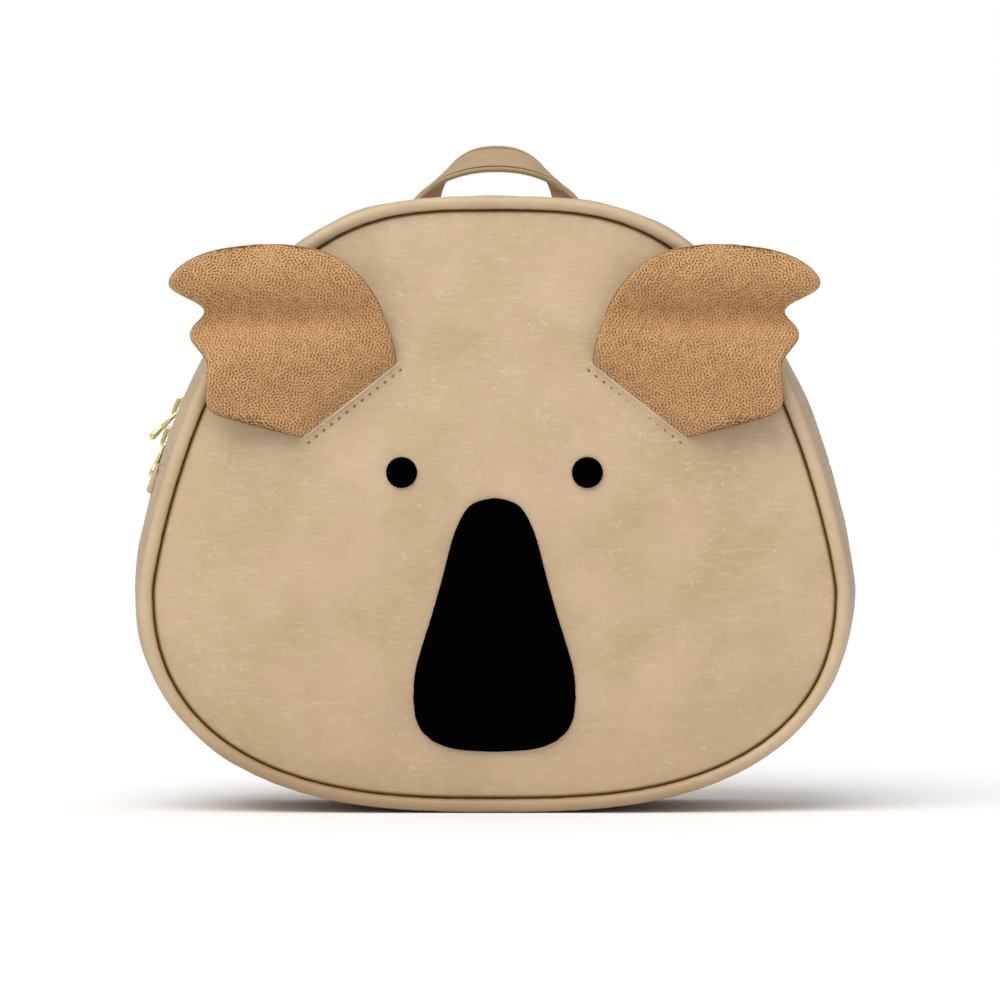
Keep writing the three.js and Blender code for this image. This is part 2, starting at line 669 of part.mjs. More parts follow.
const PLUSH_FROM = EAR_BACKING + CLEARANCE;
for (const [name, side] of [['left', -1], ['right', 1]]) {
  addPiece(`ear_${name}_back`, earGeometry(side, 0, EAR_BACKING), 'leather');
  addPiece(`ear_${name}_plush`, earGeometry(side, PLUSH_FROM, PLUSH_FROM + EAR_PLUSH), 'plush');
}

// Face patches follow the domed panel.
function onFace(x, z, raise) {
  return new THREE.Vector3(x, frontY(x, z) - PATCH_CLEARANCE - raise, z);
}

function eyeGeometry(side) {
  const grid = (raise) => shares(16).slice(0, -1).map((turn) => [0, 0.85, 1].map((share) => {
    const angle = 2 * Math.PI * turn;
    const reach = (EYE_DIAMETER / 2) * share;
    const x = (side * EYE_SPACING) / 2 + reach * Math.cos(angle);
    const lowered = raise > 0 && share === 1 ? raise * 0.6 : raise;
    return onFace(x, EYE_HEIGHT + reach * Math.sin(angle), lowered);
  }));
  return wallGeometry(grid(PATCH_THICKNESS), grid(0), { around: true, pole: true });
}
addPiece('eye_left', eyeGeometry(-1), 'black');
addPiece('eye_right', eyeGeometry(1), 'black');

// Nose outline, from its top down, as shares of its height and width.
const NOSE_ROWS = [
  { down: 0.0, width: 0.12 },
  { down: 0.02, width: 0.25 },
  { down: 0.05, width: 0.345 },
  { down: 0.1, width: 0.44 },
  { down: 0.19, width: 0.545 },
  { down: 0.33, width: 0.655 },
  { down: 0.47, width: 0.78 },
  { down: 0.62, width: 0.93 },
  { down: 0.71, width: 0.99 },
  { down: 0.79, width: 1.0 },
  { down: 0.855, width: 0.98 },
  { down: 0.9, width: 0.92 },
  { down: 0.95, width: 0.78 },
  { down: 0.98, width: 0.6 },
  { down: 1.0, width: 0.35 },
];

function noseGeometry() {
  const grid = (raise) => NOSE_ROWS.map((row) => shares(4).map((share) => {
    const x = (share - 0.5) * NOSE_WIDTH * row.width;
    return onFace(x, NOSE_TOP_HEIGHT - NOSE_HEIGHT * row.down, raise);
  }));
  return wallGeometry(grid(PATCH_THICKNESS), grid(0));
}
addPiece('nose', noseGeometry(), 'black');

// Handle: a flat strap from the back panel, over the seam and back. Its width lies across the
// bag at the feet and turns on the way up about its front edge, so that its outer face looks up
// and forwards on top.
const HANDLE_ARCH_Z = SEAM_TOP - HANDLE_BELOW_SEAM;
const HANDLE_Y = HALF_DEPTH + PIPING_DIAMETER / 2 + HANDLE_STANDOFF + HANDLE_THICKNESS / 2;
const HANDLE_ARCH = { acrossPower: 0.9, risePower: 0.924, turnLead: 0.17 };

function handleSections() {
  const tilt = THREE.MathUtils.degToRad(HANDLE_TILT);
  const twistAt = (turn) => turn + HANDLE_ARCH.turnLead * Math.sin(2 * turn);
  const stations = [];
  const arch = 16;
  for (let i = 0; i <= arch; i++) {
    const turn = (Math.PI * i) / arch;
    stations.push({ turn, drop: 0 });
  }
  stations.unshift({ turn: 0, drop: HANDLE_FOOT });
  stations.push({ turn: Math.PI, drop: HANDLE_FOOT });
  const centre = ({ turn, drop }) => {
    const aside = Math.abs(Math.cos(turn)) ** HANDLE_ARCH.acrossPower;
    const x = HANDLE_SHIFT - (HANDLE_SPAN / 2) * Math.sign(Math.cos(turn)) * aside;
    const rise = Math.max(Math.sin(turn), 0) ** HANDLE_ARCH.risePower;
    const z = HANDLE_ARCH_Z + HANDLE_RISE * rise - drop;
    const onPanel = backY(x, z) + HANDLE_STANDOFF + HANDLE_THICKNESS / 2;
    const lean = (HANDLE_WIDTH / 2) * Math.sin(twistAt(turn)) * Math.cos(tilt);
    return new THREE.Vector3(x, drop > 0 ? onPanel : HANDLE_Y + lean, z);
  };
  return stations.map((station, i) => {
    const before = centre(stations[Math.max(i - 1, 0)]);
    const after = centre(stations[Math.min(i + 1, stations.length - 1)]);
    const along = after.sub(before).normalize();
    const twist = twistAt(station.turn);
    const across = new THREE.Vector3(
      Math.cos(twist),
      Math.sin(twist) * Math.cos(tilt),
      Math.sin(twist) * Math.sin(tilt),
    ).multiplyScalar(HANDLE_WIDTH / 2);
    const out = along.clone().cross(across).normalize().multiplyScalar(HANDLE_THICKNESS / 2);
    const middle = centre(station);
    return [[-1, -1], [1, -1], [1, 1], [-1, 1]].map(([a, b]) => middle.clone()
      .addScaledVector(across, a).addScaledVector(out, b));
  });
}
addPiece('handle', sweptGeometry(handleSections()), 'leather');

// Shoulder straps: from the back panel below the handle, bowed out behind the bag, to its lower
// corners. share runs from the top end to the foot.
const STRAP_TOP_HEIGHT = HANDLE_ARCH_Z - HANDLE_FOOT - STRAP_BELOW_HANDLE;

function strapMiddle(side, share, thickness) {
  const ease = THREE.MathUtils.smoothstep(share, 0, 1);
  const x = (side * THREE.MathUtils.lerp(STRAP_TOP_SPACING, STRAP_FOOT_SPACING, ease)) / 2;
  const z = THREE.MathUtils.lerp(STRAP_TOP_HEIGHT, STRAP_FOOT_HEIGHT, share);
  const bow = STRAP_BOW * Math.sin(Math.PI * share) ** 2;
  return new THREE.Vector3(x, backY(x, z) + PATCH_CLEARANCE + thickness / 2 + bow, z);
}

// Direction down the strap, across it and out of its outer face.
function strapFrame(side, share) {
  const step = 0.01;
  const before = strapMiddle(side, Math.max(share - step, 0), 0);
  const after = strapMiddle(side, Math.min(share + step, 1), 0);
  const along = after.sub(before).normalize();
  const across = new THREE.Vector3(1, 0, 0).addScaledVector(along, -along.x).normalize();
  const out = across.clone().cross(along).normalize();
  if (out.y < 0) out.negate();
  return { along, across, out };
}

// A strap piece between two shares, from a section given as pairs across and out.
function strapGeometry(side, from, to, steps, sectionAt) {
  return sweptGeometry(shares(steps).map((s) => {
    const share = THREE.MathUtils.lerp(from, to, s);
    const { across, out } = strapFrame(side, share);
    const { thickness, points } = sectionAt(s);
    const middle = strapMiddle(side, share, thickness);
    return points.map(([a, b]) => middle.clone().addScaledVector(across, a).addScaledVector(out, b));
  }));
}

// Crowned section of a pad, thin where it is sewn down.
function padSection(share) {
  const swell = Math.sin(Math.PI * share) ** 0.6;
  const thickness = THREE.MathUtils.lerp(2 * LEATHER_WALL, PAD_THICKNESS, swell);
  const [w, t] = [PAD_WIDTH / 2, thickness / 2];
  return {
    thickness,
    points: [[-w, 0], [-w * 0.8, t * 0.8], [0, t], [w * 0.8, t * 0.8],
      [w, 0], [w * 0.8, -t * 0.8], [0, -t], [-w * 0.8, -t * 0.8]],
  };
}

function webSection() {
  const [w, t] = [WEB_WIDTH / 2, WEB_THICKNESS / 2];
  return { thickness: WEB_THICKNESS, points: [[-w, -t], [w, -t], [w, t], [-w, t]] };
}

// A flat plate laid on the strap's line, x across the strap and y up it.
function placeOnStrap(geometry, side, share, lift) {
  const { along, across, out } = strapFrame(side, share);
  const up = out.clone().cross(across).normalize();
  const middle = strapMiddle(side, share, 0).addScaledVector(out, lift);
  const basis = new THREE.Matrix4().makeBasis(across, up, out).setPosition(middle);
  return geometry.applyMatrix4(up.dot(along) > 0 ? basis.scale(new THREE.Vector3(-1, -1, 1)) : basis);
}

const STRAP_DROP = STRAP_TOP_HEIGHT - STRAP_FOOT_HEIGHT;
for (const [name, side] of [['left', -1], ['right', 1]]) {
  addPiece(`strap_pad_${name}`, strapGeometry(side, 0, PAD_SHARE, 16, padSection), 'leather');

  // Slide buckle between the pad and the webbing, measured along the strap's own slope.
  const slope = strapFrame(side, PAD_SHARE + SLIDE_LENGTH / (2 * STRAP_DROP)).along;
  const perMm = Math.abs(slope.z) / STRAP_DROP;
  const slideShare = PAD_SHARE + (SLIDE_LENGTH / 2 + 2 * CLEARANCE) * perMm;
  const [w, h] = [SLIDE_WIDTH / 2, SLIDE_LENGTH / 2];
  const bar = SLIDE_FRAME / 2;
  const windowPath = (low, high) => new THREE.Path([
    [SLIDE_FRAME - w, low], [w - SLIDE_FRAME, low],
    [w - SLIDE_FRAME, high], [SLIDE_FRAME - w, high],
  ].map(([x, y]) => new THREE.Vector2(x, y)));
  const slide = plateGeometry(
    shapeOf([[-w, -h], [w, -h], [w, h], [-w, h]]),
    SLIDE_THICKNESS,
    [windowPath(SLIDE_FRAME - h, -bar), windowPath(bar, h - SLIDE_FRAME)],
  );
  const slideLift = PATCH_CLEARANCE + WEB_THICKNESS;
  addPiece(`strap_slide_${name}`, placeOnStrap(slide, side, slideShare, slideLift), 'gold');

  const webFrom = slideShare + (SLIDE_LENGTH / 2 + 2 * CLEARANCE) * perMm;
  addPiece(`strap_web_${name}`, strapGeometry(side, webFrom, 1, 14, webSection), 'webbing');

  // Foot: a leather patch on the back panel, from the webbing's end towards the corner seam.
  const footGrid = (raise) => shares(2).map((down) => [-1, 0, 1].map((k) => {
    const wide = THREE.MathUtils.lerp(STRAP_FOOT_WIDTH, STRAP_FOOT_END_WIDTH, down);
    const x = (side * STRAP_FOOT_SPACING) / 2 + (k * wide) / 2;
    const z = STRAP_FOOT_HEIGHT - 2 * CLEARANCE - STRAP_FOOT_LENGTH * down;
    return new THREE.Vector3(x, backY(x, z) + PATCH_CLEARANCE + raise, z);
  }));
  addPiece(`strap_foot_${name}`, wallGeometry(footGrid(LEATHER_WALL), footGrid(0)), 'leather');
}

export default backpack;
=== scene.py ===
# %% [markdown]
# # A small animal backpack, dressed for its portrait
# The bag comes to Blender as a set of plain solids: a domed face, a back, a band between them, ears,
# a zip, a handle and two straps. Those solids carry the sizes and the motion. This lesson puts the
# real skin on them: mottled tan leather, curly plush, black felt, a gold zip, stitches and webbing.
# Everything is measured in the same frame as the solids, so no piece is ever fitted by eye.

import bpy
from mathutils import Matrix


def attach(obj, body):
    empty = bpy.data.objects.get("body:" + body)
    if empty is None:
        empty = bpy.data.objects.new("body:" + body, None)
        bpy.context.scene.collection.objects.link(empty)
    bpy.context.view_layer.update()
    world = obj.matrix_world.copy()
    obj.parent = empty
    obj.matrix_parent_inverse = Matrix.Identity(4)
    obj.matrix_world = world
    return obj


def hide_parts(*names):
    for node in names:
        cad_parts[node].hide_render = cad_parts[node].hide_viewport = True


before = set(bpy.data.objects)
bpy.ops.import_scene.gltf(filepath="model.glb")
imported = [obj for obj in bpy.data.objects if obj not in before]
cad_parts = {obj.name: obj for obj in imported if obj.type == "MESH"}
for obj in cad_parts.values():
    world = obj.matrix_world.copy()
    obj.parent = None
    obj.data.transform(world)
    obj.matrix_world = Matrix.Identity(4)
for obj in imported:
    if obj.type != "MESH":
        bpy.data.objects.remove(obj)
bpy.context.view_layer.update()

# %% [markdown]
# ## Tools
# A skin can be sculpted, extruded or worked out. Here each one is worked out with numpy: a formula
# gives a whole grid of points at once, and the grid is handed to the mesh in one go. That keeps the
# shape tied to named sizes and makes even a grid of fifty thousand points quick.
# All sizes below are in millimetres and become metres only when a mesh is made.

# %% Grids into meshes
import math

import bmesh
import bpy
import numpy as np
from mathutils import Vector

MM = 0.001


def grid_quads(rows, columns, ring=False, tube=False):
    """Corner numbers of the quads of a grid. ring joins the last row to the first, and tube the
    last column to the first."""
    i = np.arange(rows if ring else rows - 1)[:, None]
    j = np.arange(columns if tube else columns - 1)[None, :]
    here, below = i * columns, (i + 1) % rows * columns
    right = (j + 1) % columns
    corners = np.broadcast_arrays(here + j, here + right, below + right, below + j)
    return np.stack(corners, -1).reshape(-1, 4)


def wall(outer, inner, ring=False, pole=False):
    """A closed skin between two grids of points: the outer grid, the inner grid turned round, and a
    strip of quads along every open edge. With a pole the first column is a single point."""
    rows, columns = outer.shape[:2]
    count = rows * columns
    quads = grid_quads(rows, columns, ring)
    number = np.arange(count).reshape(rows, columns)
    edges = [] if pole else [number[:, 0]]
    edges.append(number[::-1, -1])
    if ring:
        edges = [np.append(edge, edge[0]) for edge in edges]
    else:
        edges += [number[0, ::-1], number[-1]]
    strips = [np.stack([e[:-1], e[1:], e[1:] + count, e[:-1] + count], -1) for e in edges]
    points = np.concatenate([outer.reshape(-1, 3), inner.reshape(-1, 3)])
    return points, np.concatenate([quads, quads[:, ::-1] + count, *strips])


def close_ends(sections):
    """A row of sections with two more, in which the first and the last shrink to their middles."""
    ends = [np.broadcast_to(s.mean(0), s.shape)[None] for s in (sections[0], sections[-1])]
    return np.concatenate([ends[0], sections, ends[1]])


def sweep(sections, ring=False):
    """A tube through a row of closed sections, shut at both ends unless it is a ring."""
    if not ring:
        sections = close_ends(sections)
    rows, columns = sections.shape[:2]
    return sections.reshape(-1, 3), grid_quads(rows, columns, ring, tube=True)


def copies(shape, quads, middle, along, up):
    """One small shape set down many times. Its first coordinate goes along, its second across and
    its third up at each place."""
    side = np.cross(up, along)
    placed = (
        middle[:, None]
        + shape[None, :, 0:1] * along[:, None]
        + shape[None, :, 1:2] * side[:, None]
        + shape[None, :, 2:3] * up[:, None]
    )
    numbers = quads[None] + (np.arange(len(middle)) * len(shape))[:, None, None]
    return placed.reshape(-1, 3), numbers.reshape(-1, 4)


def join(parts):
    """Several lists of points and quads as one list of each."""
    starts = np.cumsum([0] + [len(points) for points, _ in parts[:-1]])
    quads = [quads + start for (_, quads), start in zip(parts, starts)]
    return np.concatenate([points for points, _ in parts]), np.concatenate(quads)


# %% [markdown]
# A mesh becomes a piece of the bag when it is named, rides on a body, takes its finish and,
# where it stands for a solid, hides that solid. A closed skin must face
# outwards: its signed volume, the sum of corner triple products, tells whether to turn it round.

# %% Meshes into pieces of the bag
CREASE_ANGLE = math.radians(38)


def new_object(name, data):
    """An object in the scene that shows a mesh, a camera or a lamp."""
    made = bpy.data.objects.new(name, data)
    bpy.context.scene.collection.objects.link(made)
    return made


def add_piece(name, points, quads, material, slot, replaces=(), body="bag", uv=None, depth=None):
    """Makes the mesh, turns it outwards, welds doubled points and binds it to a body. depth is a
    number for each point, 1 at the bottom of a crease or between curls, read by a material as painted
    shade."""
    a, b, c, d = (points[quads[:, k]] for k in range(4))
    volume = (np.cross(a, b) * c).sum() + (np.cross(a, c) * d).sum()
    if volume < 0:
        quads = quads[:, ::-1]
    mesh = bpy.data.meshes.new(name)
    mesh.vertices.add(len(points))
    mesh.vertices.foreach_set("co", (points * MM).astype(np.float32).ravel())
    mesh.loops.add(quads.size)
    mesh.loops.foreach_set("vertex_index", quads.astype(np.int32).ravel())
    mesh.polygons.add(len(quads))
    mesh.polygons.foreach_set("loop_start", np.arange(0, quads.size, 4, dtype=np.int32))
    mesh.update(calc_edges=True)
    if uv is not None:
        layer = mesh.uv_layers.new(name="cut")
        layer.data.foreach_set("uv", (uv[quads.ravel()] * MM).astype(np.float32).ravel())
    if depth is not None:
        layer = mesh.attributes.new("depth", "FLOAT", "POINT")
        layer.data.foreach_set("value", depth.astype(np.float32))
    solid = bmesh.new()
    solid.from_mesh(mesh)
    bmesh.ops.remove_doubles(solid, verts=solid.verts, dist=2e-7)
    solid.to_mesh(mesh)
    solid.free()
    mesh.polygons.foreach_set("use_smooth", np.ones(len(mesh.polygons), bool))
    mesh.set_sharp_from_angle(angle=CREASE_ANGLE)
    mesh.materials.append(material)
    piece = new_object(name, mesh)
    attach(piece, body)
    if replaces:
        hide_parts(*replaces)
    size = np.ptp(points, axis=0).round(1)
    print(f"{name}: {len(mesh.polygons)} faces, {size[0]} x {size[1]} x {size[2]} mm")
    return piece


# %% [markdown]
# ## The camera
# The photograph looks straight at the face from about two metres, level, at a little under half the
# bag's height. A long lens at that distance keeps the sides nearly parallel. It is set up first, so
# that every later step can be looked at in the right frame.

# %% Set up the camera
VIEW_DISTANCE = 2000
VIEW_WIDTH = 420
FACE_PLANE = -45
CAMERA_X, CAMERA_Z = 2.31, 131.4

camera_data = bpy.data.cameras.new("camera")
camera_data.sensor_width = 36
camera_data.lens = 36 * VIEW_DISTANCE / VIEW_WIDTH
camera_data.clip_end = 100
camera = new_object("camera", camera_data)
camera.location = Vector((CAMERA_X, FACE_PLANE - VIEW_DISTANCE, CAMERA_Z)) * MM
camera.rotation_euler = (math.radians(90), 0, 0)
bpy.context.scene.camera = camera
print("lens:", round(camera_data.lens, 1), "mm")

# %% [markdown]
# ## Materials
# Every finish is a small network of nodes on Blender's Principled shader. Patterns read the object's
# own coordinates in metres, so a noise of scale 60 has clouds of about 1/60 m, or 17 mm. A short
# helper adds a node, sets its plain inputs and links the others.

# %% Helpers for node networks
def new_material(name, **plain):
    """A material with a Principled shader whose named sockets are set to plain values."""
    material = bpy.data.materials.new(name)
    material.use_nodes = True
    shader = material.node_tree.nodes["Principled BSDF"]
    for socket, value in plain.items():
        shader.inputs[socket.replace("_", " ")].default_value = value
    return material, material.node_tree, shader


def add_node(tree, kind, inputs=None, **settings):
    """A node of a kind, with its settings, and with each input linked to a socket or set."""
    node = tree.nodes.new("ShaderNode" + kind)
    for key, value in settings.items():
        setattr(node, key, value)
    for key, value in (inputs or {}).items():
        if isinstance(value, bpy.types.NodeSocket):
            tree.links.new(value, node.inputs[key])
        else:
            node.inputs[key].default_value = value
    return node


def spread(tree, value, low, high, to_low=0.0, to_high=1.0):
    """A value stretched from one range to another and kept inside it."""
    inputs = {"Value": value, "From Min": low, "From Max": high, "To Min": to_low, "To Max": to_high}
    return add_node(tree, "MapRange", inputs, clamp=True).outputs["Result"]


def combine(tree, kind, first, *others):
    """Numbers added, multiplied or otherwise combined, one after the other."""
    for other in others:
        first = add_node(tree, "Math", {0: first, 1: other}, operation=kind).outputs[0]
    return first


def mix_colours(tree, share, first, second):
    """Two colours mixed by a share. A plain one is given by its red, green and blue."""
    first, second = (c if isinstance(c, bpy.types.NodeSocket) else (*c, 1) for c in (first, second))
    return add_node(tree, "Mix", {0: share, 6: first, 7: second}, data_type="RGBA").outputs[2]


def paint(tree, shader, colour):
    """A colour as the base colour of the shader."""
    tree.links.new(colour, shader.inputs["Base Color"])


def noise(tree, place, scale, detail=3.0, roughness=0.55):
    """Soft random clouds from 0 to 1."""
    inputs = {"Vector": place, "Scale": scale, "Detail": detail, "Roughness": roughness}
    return add_node(tree, "TexNoise", inputs).outputs["Fac"]


def stretched(tree, place, scale, turn=(0, 0, 0)):
    """Coordinates pulled by a different factor along each axis."""
    inputs = {"Vector": place, "Scale": scale, "Rotation": turn}
    return add_node(tree, "Mapping", inputs).outputs[0]


def add_bump(tree, shader, height, strength, distance, under=None):
    """Dents and grain in the shading. distance is in millimetres."""
    inputs = {"Height": height, "Strength": strength, "Distance": distance * MM}
    if under is not None:
        inputs["Normal"] = under
    bump = add_node(tree, "Bump", inputs)
    tree.links.new(bump.outputs[0], shader.inputs["Normal"])
    return bump.outputs[0]


# %% [markdown]
# ### Mottled leather
# The bag is cut from soft faux leather with a washed, mottled dye: pale, blushed and deeper clouds a
# thumb wide, short pale marks where the surface was rubbed, and a pebble grain under a
# millimetre. A single tan would look like plastic. So two noises set the clouds and a third the
# blush. The marks are the thin lines along which a stretched noise passes its middle value, broken
# up by two more noises. Creases are painted dark brown where the piece's own depth value says so:
# a painted shade, where little light reaches.

# %% The leather of the body
CREASE_SHADE = (0.20, 0.10, 0.03)
BASE_SHADE = (0.33, 0.215, 0.115)
BLUSH_OF_PALE = (1.07, 1.03, 1.12)


def clouded(tree, place, pale, deep, blush):
    """Dye in clouds: a pale and a deep tone mixed by two noises, with a blush laid over."""
    fine, broad = noise(tree, place, 52.0, 5.0, 0.62), noise(tree, place, 13.0, 2.0, 0.5)
    share = combine(tree, "ADD", combine(tree, "MULTIPLY", fine, 0.6),
                    combine(tree, "MULTIPLY", broad, 0.4))
    colour = mix_colours(tree, spread(tree, share, 0.36, 0.64), deep, pale)
    blushed = spread(tree, noise(tree, place, 24.0, 3.0, 0.5), 0.45, 0.66, 0.0, 0.45)
    return mix_colours(tree, blushed, colour, blush), fine, broad


def rubbed_marks(tree, place):
    """Short thin marks from 0 to 1: where a noise is close to its middle value, in worn places."""
    wander = noise(tree, stretched(tree, place, (230, 230, 430)), 1.0, 2.0, 0.5)
    off_middle = combine(tree, "ABSOLUTE", combine(tree, "SUBTRACT", wander, 0.5), 0)
    lines = spread(tree, off_middle, 0.0, 0.024, 1.0, 0.0)
    broken = spread(tree, noise(tree, place, 240.0, 2.0, 0.5), 0.5, 0.62)
    worn = spread(tree, noise(tree, place, 40.0, 3.0, 0.6), 0.42, 0.6)
    return combine(tree, "MULTIPLY", lines, broken, worn)


def leather(name, pale, deep, rubbed, roughness=0.5, marks=0.9, base=0.22, base_shade_top=0.2):
    """Leather in clouds, with rubbed marks and streaks, creases painted dark brown as shade, and a
    deeper tone towards the base, painted as the shade of the underside."""
    material, tree, shader = new_material(name, Specular_IOR_Level=0.35)
    place = add_node(tree, "TexCoord").outputs["Object"]
    blush = tuple(c * k for c, k in zip(pale, BLUSH_OF_PALE))
    colour, fine, broad = clouded(tree, place, pale, deep, blush)
    lines = combine(tree, "MULTIPLY", rubbed_marks(tree, place), marks)
    colour = mix_colours(tree, lines, colour, rubbed)
    streaks = noise(tree, stretched(tree, place, (130, 130, 900)), 1.0, 4.0, 0.7)
    colour = mix_colours(tree, spread(tree, streaks, 0.52, 0.76, 0.0, 0.5), colour, rubbed)
    # Painted shade: lower down the bag the colour deepens towards the base tone, for the underside's
    # shade.
    height = add_node(tree, "SeparateXYZ", {0: place}).outputs["Z"]
    low = spread(tree, combine(tree, "ADD", height, combine(tree, "MULTIPLY", broad, 0.05)),
                 0.03, base_shade_top, base, 0.0)
    colour = mix_colours(tree, low, colour, BASE_SHADE)
    # Painted shade: the depth value turns creases and grooves dark brown.
    depth = add_node(tree, "Attribute", attribute_name="depth").outputs["Fac"]
    colour = mix_colours(tree, depth, colour, CREASE_SHADE)
    paint(tree, shader, colour)
    tree.links.new(spread(tree, fine, 0.3, 0.7, roughness - 0.07, roughness + 0.08),
                   shader.inputs["Roughness"])

    pebbles = add_node(tree, "TexVoronoi", {"Vector": place, "Scale": 1500.0},
                       feature="SMOOTH_F1").outputs["Distance"]
    folds = noise(tree, place, 220.0, 4.0, 0.65)
    grain = add_bump(tree, shader, pebbles, 0.12, 0.25)
    add_bump(tree, shader, folds, 0.18, 0.9, grain)
    return material


LEATHER = leather("leather_face", (0.555, 0.405, 0.256), (0.475, 0.338, 0.195),
                  (0.69, 0.55, 0.385))
LEATHER_DARK = leather("leather_band", (0.48, 0.35, 0.22), (0.40, 0.28, 0.17),
                       (0.58, 0.46, 0.32), marks=0.3)
LEATHER_HANDLE = leather("leather_handle", (0.39, 0.275, 0.16), (0.33, 0.23, 0.13),
                         (0.55, 0.42, 0.28), marks=0.3)
# The piping deepens strongly to the base tone near the bottom: painted shade on its underside.
LEATHER_PIPING = leather("leather_piping", (0.55, 0.415, 0.255), (0.48, 0.35, 0.205),
                         (0.64, 0.50, 0.35), 0.45, marks=0.3, base=0.9, base_shade_top=0.075)
# A paler copy of the face leather, for the turned edge beside each ear: a painted highlight.
LEATHER_EDGE_HIGHLIGHT = leather("leather_edge_highlight", (0.76, 0.62, 0.46), (0.70, 0.56, 0.40),
                       (0.80, 0.68, 0.52), marks=0.2)
print("leathers:", [m.name for m in bpy.data.materials])

# %% [markdown]
# ### Plush, felt, thread, webbing and gold
# The plush reads the depth value that the ear's own formula leaves on each point: 1 between the
# curls and 0 on top of one. Dark gaps between light curls, a painted shade, are what makes plush look
# deep. Felt is nearly black and takes almost no shine. Tape and webbing read the piece's own cut, so that
# their ribs run along them, and thread shows a fine twist. Gold is a metal whose roughness changes a
# little from place to place.

# %% The plush of the ears
def plush(name, gap_shade_and_clouds, middle, tip):
    """Curly pile, coloured by the depth between its curls: painted shade in the gaps, lighter on top."""
    material, tree, shader = new_material(name, Roughness=0.95, Specular_IOR_Level=0.1,
                                          Sheen_Weight=0.25, Sheen_Roughness=0.6,
                                          Sheen_Tint=(1.0, 0.8, 0.6, 1))
    place = add_node(tree, "TexCoord").outputs["Object"]
    depth = add_node(tree, "Attribute", attribute_name="depth").outputs["Fac"]
    hair = noise(tree, place, 1700.0, 3.0, 0.7)
    deep = combine(tree, "SUBTRACT", depth, combine(tree, "MULTIPLY", hair, 0.5))
    # Painted shade: the deeper a place lies between curls or in the ear's fold, the nearer it comes to
    # the dark gap colour. The same colour also lies in soft random clouds.
    colour = mix_colours(tree, spread(tree, deep, -0.4, -0.1), tip, middle)
    colour = mix_colours(tree, spread(tree, deep, -0.1, 0.55), colour, gap_shade_and_clouds)
    clouds = spread(tree, noise(tree, place, 90.0, 2.0, 0.5), 0.35, 0.65, 0.0, 0.2)
    paint(tree, shader, mix_colours(tree, clouds, colour, gap_shade_and_clouds))
    add_bump(tree, shader, hair, 0.5, 0.5)
    return material


PLUSH = plush("plush_ear", (0.31, 0.152, 0.06), (0.50, 0.27, 0.113), (0.70, 0.44, 0.22))

# %% Felt, thread, webbing and gold
def two_tones(name, draw, reach, first, second, bump, rough=None, **plain):
    """A finish of two tones: draw makes a pattern from the tree and the object's coordinates, which
    mixes the tones over a range, dents the surface and, if asked, changes its roughness."""
    material, tree, shader = new_material(name, **plain)
    pattern = draw(tree, add_node(tree, "TexCoord").outputs["Object"])
    paint(tree, shader, mix_colours(tree, spread(tree, pattern, *reach), first, second))
    if rough:
        tree.links.new(spread(tree, pattern, *rough), shader.inputs["Roughness"])
    add_bump(tree, shader, pattern, *bump)
    return material


def woven(name, pale, deep, ribs):
    """Woven tape: diagonal ribs from the cut's own coordinates, with a little fluff."""
    def weave(tree, place):
        cut = add_node(tree, "UVMap", uv_map="cut").outputs[0]
        turned = stretched(tree, cut, (ribs, ribs, ribs), (0, 0, math.radians(45)))
        one, two = (add_node(tree, "TexWave", {"Vector": turned, "Scale": 1.0, "Distortion": 0.6},
                             bands_direction=way).outputs["Fac"] for way in "XY")
        fluff = combine(tree, "MULTIPLY", noise(tree, place, 900.0, 3.0, 0.6), 0.5)
        return combine(tree, "ADD", combine(tree, "MAXIMUM", one, two), fluff)

    return two_tones(name, weave, (0.3, 1.3), deep, pale, (0.5, 0.3), Roughness=0.8,
                     Specular_IOR_Level=0.2)


def polished(tree, place):
    """Faint marks of polishing, longer one way."""
    return noise(tree, stretched(tree, place, (900, 300, 300)), 1.0, 3.0, 0.6)


def fibres(tree, place):
    """The short fibres of felt."""
    return noise(tree, place, 2600.0, 4.0, 0.75)


def twist(tree, place):
    """The twist of a thread."""
    return noise(tree, place, 2400.0, 2.0, 0.5)


def thread(name, colour, deep):
    """Sewing thread: a fine twist seen as light and dark."""
    return two_tones(name, twist, (0.35, 0.65), deep, colour, (0.4, 0.15), Roughness=0.6,
                     Specular_IOR_Level=0.3)


FELT = two_tones("felt_black", fibres, (0.4, 0.7), (0.0004, 0.0004, 0.0004), (0.0018, 0.0016, 0.0014),
                 (0.6, 0.25), Roughness=1.0, Specular_IOR_Level=0.0)
TAPE = woven("tape_woven", (0.50, 0.37, 0.23), (0.33, 0.23, 0.13), 900.0)
WEBBING = woven("webbing_woven", (0.46, 0.33, 0.20), (0.27, 0.18, 0.10), 520.0)
GOLD = two_tones("gold_plating", polished, (0.3, 0.8, 0.0, 0.35), (0.80, 0.70, 0.33),
                 (0.56, 0.49, 0.231), (0.08, 0.05), rough=(0.3, 0.7, 0.18, 0.34), Metallic=1.0)
THREAD = thread("thread_tan", (0.50, 0.36, 0.22), (0.27, 0.17, 0.09))
THREAD_DARK = thread("thread_brown", (0.22, 0.15, 0.09), (0.10, 0.06, 0.035))
print("finishes ready:", len(bpy.data.materials))

# %% [markdown]
# ## The outline that everything follows
# Seen from the front the bag is one closed curve: full cheeks, flat under, narrower on top. Two half
# superellipses that meet at the widest height give it from six numbers. Each point knows its running
# length from the bottom centre, so a place on a seam is one number, as it is for the maker's tape.

# %% Trace the outline
FACE_WIDTH, FACE_HEIGHT, WIDEST_HEIGHT = 286.8, 246.9, 87.2
SEAM_BOTTOM = 6.2
WIDEST_Z = SEAM_BOTTOM + WIDEST_HEIGHT
HALF_DEPTH = 45
FACE_DOME, BACK_DOME = 9, 3
UPPER = {"across": 3.16, "up": 1.25, "reach": FACE_HEIGHT - WIDEST_HEIGHT}
LOWER = {"across": 2.74, "up": 2.31, "reach": WIDEST_HEIGHT}


